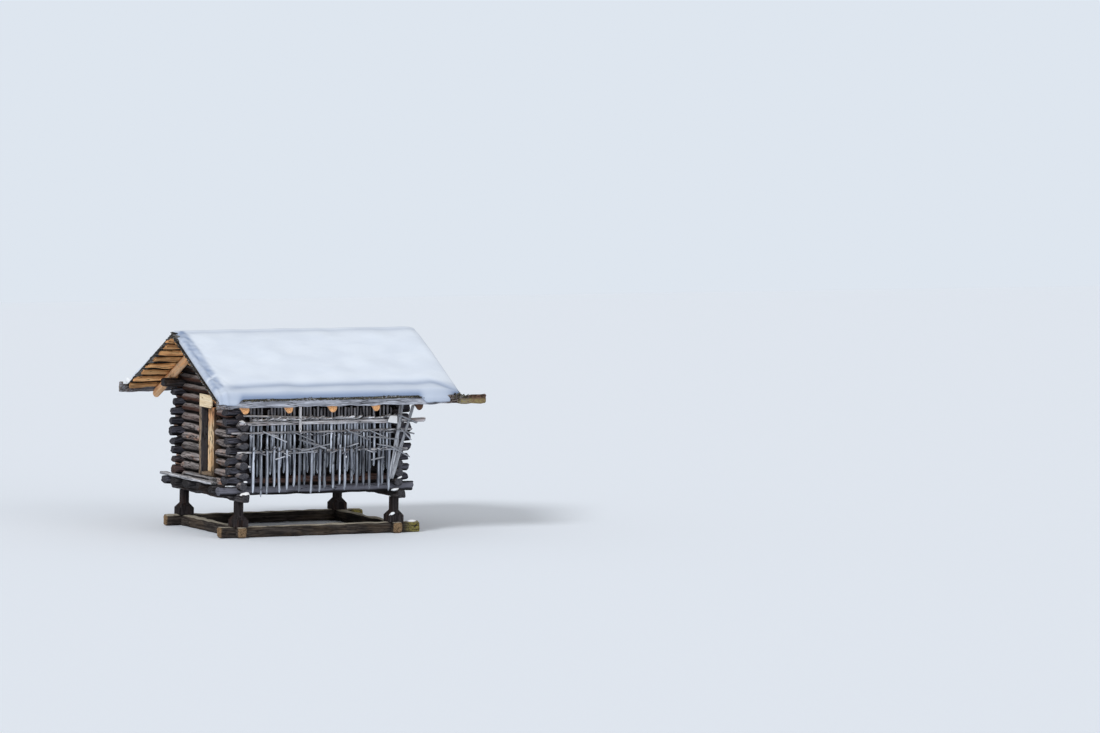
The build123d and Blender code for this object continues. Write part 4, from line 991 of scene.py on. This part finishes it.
def fringeEnds(chance, bottom):
    ends = []
    for layer in range(fringe["layers"]):
        for place in np.arange(fringe["left"], fringe["right"], fringe["step"]):
            x = place + chance.uniform(*fringe["shift"])
            z = bottom - fringe["below"] + fringe["rise"] * layer + chance.uniform(*fringe["lift"])
            y = -eaveY - fringe["out"] + fringe["in"] * layer + chance.uniform(*fringe["depth"])
            start = (x, y + shingle["deep"], z + shingle["deep"] * math.tan(slope) * fringe["pitch"])
            ends.append((start, (x, y, z), fringe["step"] * chance.uniform(*fringe["wide"]), eaveForm))
    return ends


def shingleEnds():
    chance = np.random.default_rng(shingle["seed"])
    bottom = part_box("eave_board_near")[1].z
    ends = vergeEnds(chance) + ridgeEnds(chance) + tuftEnds(chance, bottom) + fringeEnds(chance, bottom)
    return [bar(start, end, width, shingle["thick"], shingle["seed"] + number, **shingleForm, **form)
            for number, (start, end, width, form) in enumerate(ends)]


makePiece("shingle_ends", shingleEnds(), wood["shingle"])

# The hook at the left end of the far eave board: a short peg that stands past its top
eaveHook = {"in": 0.05, "rise": 0.05, "width": 0.09, "height": 0.07, "seed": 6900}
boardLow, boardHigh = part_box("eave_board_far")
hookX, hookY = boardLow.x + eaveHook["in"], (boardLow.y + boardHigh.y) / 2
hook = bar((hookX, hookY, boardLow.z), (hookX, hookY, boardHigh.z + eaveHook["rise"]),
           eaveHook["width"], eaveHook["height"], eaveHook["seed"], up=(0, 1, 0), rings=6, **weathered)
makePiece("far_eave_hook", [hook], wood["eave"])

# Snow: a profile over both slopes, from the far eave over the ridge to the near eave and back
# underneath. The top is the slope moved out along its normal by the depth, which falls to little
# at both verges; at the eaves the normal turns about the foot and draws a round lip. On the near
# side the lip sags over the eave board at two places.
blanket = {
    "near": (0.155, 0.155), "far": (0.055, 0.125),     # depth by the ridge and by the eave
    "deepens": (0.8, 2.6),                         # where it changes from the one to the other
    "ridge": 0.07, "ridgeWide": 0.25, "ridgeRound": 0.2,
    "foot": 0.085, "lowest": -12.0, "lipBand": 0.1,        # of the lip: how far behind the eave, last angle
    "roundLeft": 0.17, "lipLeft": 0.05, "leftPower": 2.6,      # rounding along X at the left verge
    "roundRight": (0.3, 0.9), "widens": (1.2, 2.6),            # at the right one, by ridge and eave
    "over": -0.035, "lift": 0.004,                 # how far past the left verge, and above the cover
    "stations": 260, "crowd": 1.25, "sideSteps": 64, "lipSteps": 16,    # stations crowd at the left verge
    "swell": (0.1, 1.1, 31),                       # of the depth: share, then wave length and seed
    "ripple": (0.005, 0.017, 0.3),                 # by the left verge: far, more when near, and width
    "rippleWave": (0.2, 33),
    "crease": (0.27, 0.1, 0.03),                   # distance from the foot of the lip, width and depth
    "creaseWander": (0.015, 1.2, 34),
    "creaseLeft": 0.42, "creaseRight": (2.2, 3.0), "creaseFrom": (0.2, 0.7),   # it runs into the lip
    "sags": ((-9.0, -8.0, -2.95, -2.72, 0.13),     # from, full, full, to and drop
             (1.8, 2.05, 2.62, 2.95, 0.17)),
    "sagUneven": (0.12, 0.3, 35), "sagOut": (0.3, 0.12),       # sagOut: push outwards and its limit
    "furrow": (0.13, 0.06, 0.03),                  # along the left verge: distance, width and depth
    "furrowWander": (0.02, 0.3, 37), "furrowFrom": (0.1, 0.5),
    "bare": (0.12, 0.16, 0.9), "bareTo": (0.08, 0.2),      # left end of the ridge: run, width and share
}
# painted blue shade on the near slope of the snow: shares, places and widths
blueShade = {
    "verge": (0.9, 0.14), "vergeTo": (2.5, 2.25),  # the line by the left verge: share, width, its foot
    "vergeUneven": (0.2, 0.16, 36),
    "gaps": (2.0, 2.5), "gap": (0.8, 0.035), "gapSlant": 0.5,      # gaps in that line: share and width
    "crease": 0.45, "lip": (0.95, 0.7, 0.1),       # under the lip, and less where it sags this far
    "aboveLip": (0.3, 0.35, 0.2),                  # share, from and to
    "ridge": (0.25, 0.12, 0.08),                   # share, run and width
}


def alongRidge(places):
    return places * (1, 0, 0)                      # waves of it change along X alone


def snowProfile():
    # for each row from the far eave to the near one: run from the ridge, angle of the normal,
    # depth, share of the sag and side
    foot, flat = eaveY - blanket["foot"], math.pi / 2 - slope
    halves = []
    for side, (byRidge, byEave) in ((1, blanket["far"]), (-1, blanket["near"])):
        run = np.linspace(foot, 0, blanket["sideSteps"])
        depth = byRidge + (byEave - byRidge) * smooth(*blanket["deepens"], run)
        thick = depth + (blanket["ridge"] - depth) * hump(run, blanket["ridgeWide"])
        tilt = slope * (1 - hump(run, blanket["ridgeRound"]))
        angle = np.linspace(math.radians(blanket["lowest"]), flat, blanket["lipSteps"], endpoint=False)
        drop = 1 - (angle - angle[0]) / (flat - angle[0])      # 1 at the lowest point of the lip
        lip = np.stack(np.broadcast_arrays(foot, angle, byEave, drop, side), axis=-1)
        rise = np.stack(np.broadcast_arrays(run, math.pi / 2 - tilt, thick, 0.0, side), axis=-1)
        half = np.concatenate((lip, rise))
        halves.append(half if side == 1 else half[::-1][1:])
    return np.concatenate(halves).T


def snowCrease(run, inwards, x, spot):
    # a soft line above the lip of the near side
    distance, width, _ = blanket["crease"]
    height, *wave = blanket["creaseWander"]
    line = eaveY - blanket["foot"] - distance + height * waves(alongRidge(spot[:, :1]), *wave)
    line = line + distance * (hump(inwards, blanket["creaseLeft"]) + smooth(*blanket["creaseRight"], x))
    return hump(run - line, width) * smooth(*blanket["creaseFrom"], inwards)


def snowFall(run, near, inwards, fromRight):
    # 0 at both verges, 1 inside: round falls whose length depends on the place
    foot = eaveY - blanket["foot"]
    offSlope = 1 - near * (1 - smooth(foot - blanket["lipBand"], foot, run))   # 1 at the lip and far
    leftLength = blanket["roundLeft"] + (blanket["lipLeft"] - blanket["roundLeft"]) * offSlope
    byRidge, byEave = blanket["roundRight"]
    rightLength = byRidge + (byEave - byRidge) * near * smooth(*blanket["widens"], run)
    left, right = np.clip(inwards / leftLength, 0, 1), np.clip(fromRight / rightLength, 0, 1)
    power = blanket["leftPower"]
    return (1 - (1 - left) ** power) ** (1 / power) * np.sqrt(1 - (1 - right) ** 2)


def snowShade(run, near, inwards, spot, crease, sag, drop):
    # how much painted blue shade the snow gets: a soft line along the left verge with two gaps, the
    # crease, the face under the lip and its edge, and the near side of the ridge
    share, width = blueShade["verge"]
    uneven, *wave = blueShade["vergeUneven"]
    leftLine = np.exp(-((inwards - blanket["furrow"][0]) / width) ** 4)
    leftLine = leftLine * (1 - uneven + uneven * waves(spot, *wave))
    gapShare, gapWidth = blueShade["gap"]
    for gap in blueShade["gaps"]:
        slanted = run + blueShade["gapSlant"] * inwards
        leftLine = leftLine * (1 - gapShare * hump(slanted - gap, gapWidth))
    lip, lessLip, sagFull = blueShade["lip"]
    edge, edgeFrom, edgeTo = blueShade["aboveLip"]
    ridge, ridgeRun, ridgeWidth = blueShade["ridge"]
    foot = eaveY - blanket["foot"]
    shade = (share * leftLine * smooth(*blueShade["vergeTo"], run) + blueShade["crease"] * crease
             + (lip - lessLip * np.clip(sag / sagFull, 0, 1)) * drop
             + edge * smooth(foot - edgeFrom, foot - edgeTo, run)
             + ridge * hump(run - ridgeRun, ridgeWidth))
    return np.clip(shade * near, 0, 1)


def snowBlanket():
    run, turn, thick, drop, side = snowProfile()
    near = side < 0
    first, last = vergeLeft - blanket["over"], vergeRight
    x = (first + (last - first) * np.linspace(0, 1, blanket["stations"]) ** blanket["crowd"])[:, None]
    inwards = x - first
    base = coverRidge - run * math.tan(slope) + blanket["lift"]
    spot = np.stack(np.broadcast_arrays(x, run * side, base), axis=-1)
    fall = snowFall(run, near, inwards, last - x)
    crease = near * snowCrease(run, inwards, x, spot)
    swell, *swellWave = blanket["swell"]
    depth = thick * fall * (1 + swell * waves(spot, *swellWave)) - blanket["crease"][2] * crease
    ripple, nearRipple, width = blanket["ripple"]
    rippled = (ripple + nearRipple * near) * waves(spot, *blanket["rippleWave"])
    depth = depth + rippled * hump(inwards, width) * fall
    away, furrowWidth, cutBy = blanket["furrow"]
    wander, *wanderWave = blanket["furrowWander"]
    furrow = hump(inwards - away - wander * waves(spot, *wanderWave), furrowWidth) * near
    depth = depth - cutBy * furrow * fall * smooth(*blanket["furrowFrom"], run)
    bareRun, bareWidth, bareShare = blanket["bare"]
    bare = hump(run - bareRun, bareWidth) * near * (1 - smooth(*blanket["bareTo"], inwards))
    depth = depth * (1 - bareShare * bare)
    sag = sum(fallBy * smooth(start, full, x) * (1 - smooth(end, stop, x))
              for start, full, end, stop, fallBy in blanket["sags"])
    uneven, *unevenWave = blanket["sagUneven"]
    sag = sag * (1 + uneven * waves(alongRidge(spot[:, :1]), *unevenWave)) * near * drop
    push, most = blanket["sagOut"]
    y = side * (run + np.cos(turn) * depth + push * np.minimum(sag, most))
    top = np.stack((spot[..., 0], y, base + np.sin(turn) * depth - sag), axis=-1)
    bottom = (spot - (0, 0, blanket["lift"]))[:, ::-1]
    tube = closeTube(np.concatenate((top, bottom), axis=1))
    shade = snowShade(run, near, inwards, spot, crease, sag, drop)
    tube["shade"] = np.concatenate((shade, 0 * shade), axis=1).ravel()
    return tube


heapForm = {"rows": 12, "around": 16, "bumps": 0.22, "wave": 1.4, "flat": -0.3, "shade": 0.1,
            "seed": 6950}


def snowHeap(centre, size, seed, slant):
    # an ellipsoid with a flat underside, moved by waves and slanted along X
    turn = np.linspace(0, math.pi, heapForm["rows"])[1:-1, None]
    around = np.linspace(0, 2 * math.pi, heapForm["around"], endpoint=False)
    rings = np.stack((-np.cos(turn) + 0 * around, np.sin(turn) * np.cos(around),
                      np.sin(turn) * np.sin(around)), axis=-1)
    rings = rings * (1 + heapForm["bumps"] * waves(rings, heapForm["wave"], seed))[..., None]
    rings[..., 2] = np.maximum(rings[..., 2], heapForm["flat"]) + slant * rings[..., 0]
    centre = np.array(centre)
    ends = np.array(((-1, 0, -slant), (1, 0, slant)))
    tube = closeTube(centre + rings * size, centre + ends * size)
    tube["shade"] = np.full(len(tube["places"]), heapForm["shade"])
    return tube


# Middle, size and slant of the heaps on log ends, beams, pegs and the far eave
snowHeaps = (
    ((-2.31, -1.93, 1.055), (0.11, 0.1, 0.045), 0.3), ((-2.53, -1.6, 1.222), (0.13, 0.06, 0.03), 0.0),
    ((-2.27, -1.84, 1.335), (0.05, 0.05, 0.03), 0.0), ((-2.19, -1.79, 1.69), (0.09, 0.06, 0.035), 0.0),
    ((-2.4, -1.92, 2.765), (0.065, 0.05, 0.045), -0.4), ((1.75, -1.85, 1.335), (0.06, 0.05, 0.03), 0.5),
    ((1.6, -1.9, 1.052), (0.09, 0.09, 0.04), 0.3), ((1.62, -1.745, 0.46), (0.07, 0.05, 0.05), 0.5),
    ((2.2, -1.6, 0.255), (0.13, 0.08, 0.035), 0.0),
    ((0.93, -1.9, 2.79), (0.05, 0.03, 0.03), 0.0), ((1.22, -1.91, 2.79), (0.055, 0.03, 0.03), 0.0),
    ((1.42, -1.89, 2.8), (0.04, 0.03, 0.03), 0.0), ((0.3, -1.93, 1.87), (0.02, 0.02, 0.03), 0.0),
    ((-3.38, 2.62, 3.4), (0.05, 0.13, 0.1), 0.0),
)
# A thin strip of snow over the slanted boards at the right end of the rack
sheet = {"start": (1.38, -2.0, 2.78), "end": (1.6, -2.0, 2.71), "width": 0.02, "height": 0.16, "seed": 6990,
         "rings": 8, "power": 14.0, "skew": 0.3, "wobble": 0.004, "ragged": 0.012, "edge": 0.001}
snowSheet = bar(**sheet)
snowSheet["shade"] = np.zeros(len(snowSheet["places"]))
heaps = [snowHeap(centre, size, heapForm["seed"] + number, slant)
         for number, (centre, size, slant) in enumerate(snowHeaps)]
makePiece("snow_blanket", [snowBlanket()], snow, nodes=("roof_snow",))
makePiece("snow_heaps", heaps + [snowSheet], litHeapSnow)
print("snow made")

# CAD nodes that stay as they are, with the axis of their grain
plainNodes = (
    ("post_near_left", "post", 2), ("post_near_right", "post", 2), ("post_far_left", "post", 2),
    ("post_far_right", "post", 2), ("roof_cover_near", "cover", 1), ("roof_cover_far", "cover", 1),
    ("door_stile", "leaf", 2), ("door_head_board", "fresh", 1))
plainWood = {look: woodMaterial(look + "Solid", looks[look], grain)
             for look, grain in dict.fromkeys(row[1:] for row in plainNodes)}
for node, look, _ in plainNodes:
    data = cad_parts[node].data
    data.materials.clear()
    data.materials.append(plainWood[look])


# Light, floor and background
studio = {
    "light": (1.0, 1.0, 1.0), "strength": 0.5, "backdrop": (0.73, 0.79, 0.865),
    "suns": (("sun", 1.6, 15, 52, -62), ("fill", 0.8, 50, 74, 22)),     # energy, spread, tilt and turn
    "floor": (0.84, 0.9, 0.985), "floorRough": 0.9, "floorHalf": 80.0,
}


def makeWorld(scene):
    # one background lights the barn, another is what the camera sees
    world = bpy.data.worlds.new("studio")
    scene.world = world
    world.use_nodes = True
    tree = world.node_tree
    background = tree.nodes["Background"]
    background.inputs["Color"].default_value = (*studio["light"], 1.0)
    background.inputs["Strength"].default_value = studio["strength"]
    backdrop = tree.nodes.new("ShaderNodeBackground")
    backdrop.inputs["Color"].default_value = (*studio["backdrop"], 1.0)
    seen = tree.nodes.new("ShaderNodeLightPath")
    choose = tree.nodes.new("ShaderNodeMixShader")
    tree.links.new(seen.outputs["Is Camera Ray"], choose.inputs[0])
    tree.links.new(background.outputs[0], choose.inputs[1])
    tree.links.new(backdrop.outputs[0], choose.inputs[2])
    tree.links.new(choose.outputs[0], tree.nodes["World Output"].inputs["Surface"])


def makeLights(scene):
    for name, energy, spread, tilt, turn in studio["suns"]:
        light = bpy.data.lights.new(name, "SUN")
        light.energy = energy
        light.angle = math.radians(spread)
        lamp = bpy.data.objects.new(name, light)
        lamp.rotation_euler = (math.radians(tilt), 0, math.radians(turn))
        scene.collection.objects.link(lamp)


def makeFloor(scene):
    mesh = bpy.data.meshes.new("floor")
    half = studio["floorHalf"]
    mesh.from_pydata([(-half, -half, 0), (half, -half, 0), (half, half, 0), (-half, half, 0)], [],
                     [(0, 1, 2, 3)])
    ground = bpy.data.objects.new("floor", mesh)
    scene.collection.objects.link(ground)
    plain = bpy.data.materials.new("floor")
    plain.use_nodes = True
    shader = plain.node_tree.nodes["Principled BSDF"]
    shader.inputs["Base Color"].default_value = (*studio["floor"], 1.0)
    shader.inputs["Roughness"].default_value = studio["floorRough"]
    mesh.materials.append(plain)


def makeStudio():
    scene = bpy.context.scene
    scene.view_settings.view_transform = "Standard"
    makeWorld(scene)
    makeLights(scene)
    makeFloor(scene)


makeStudio()
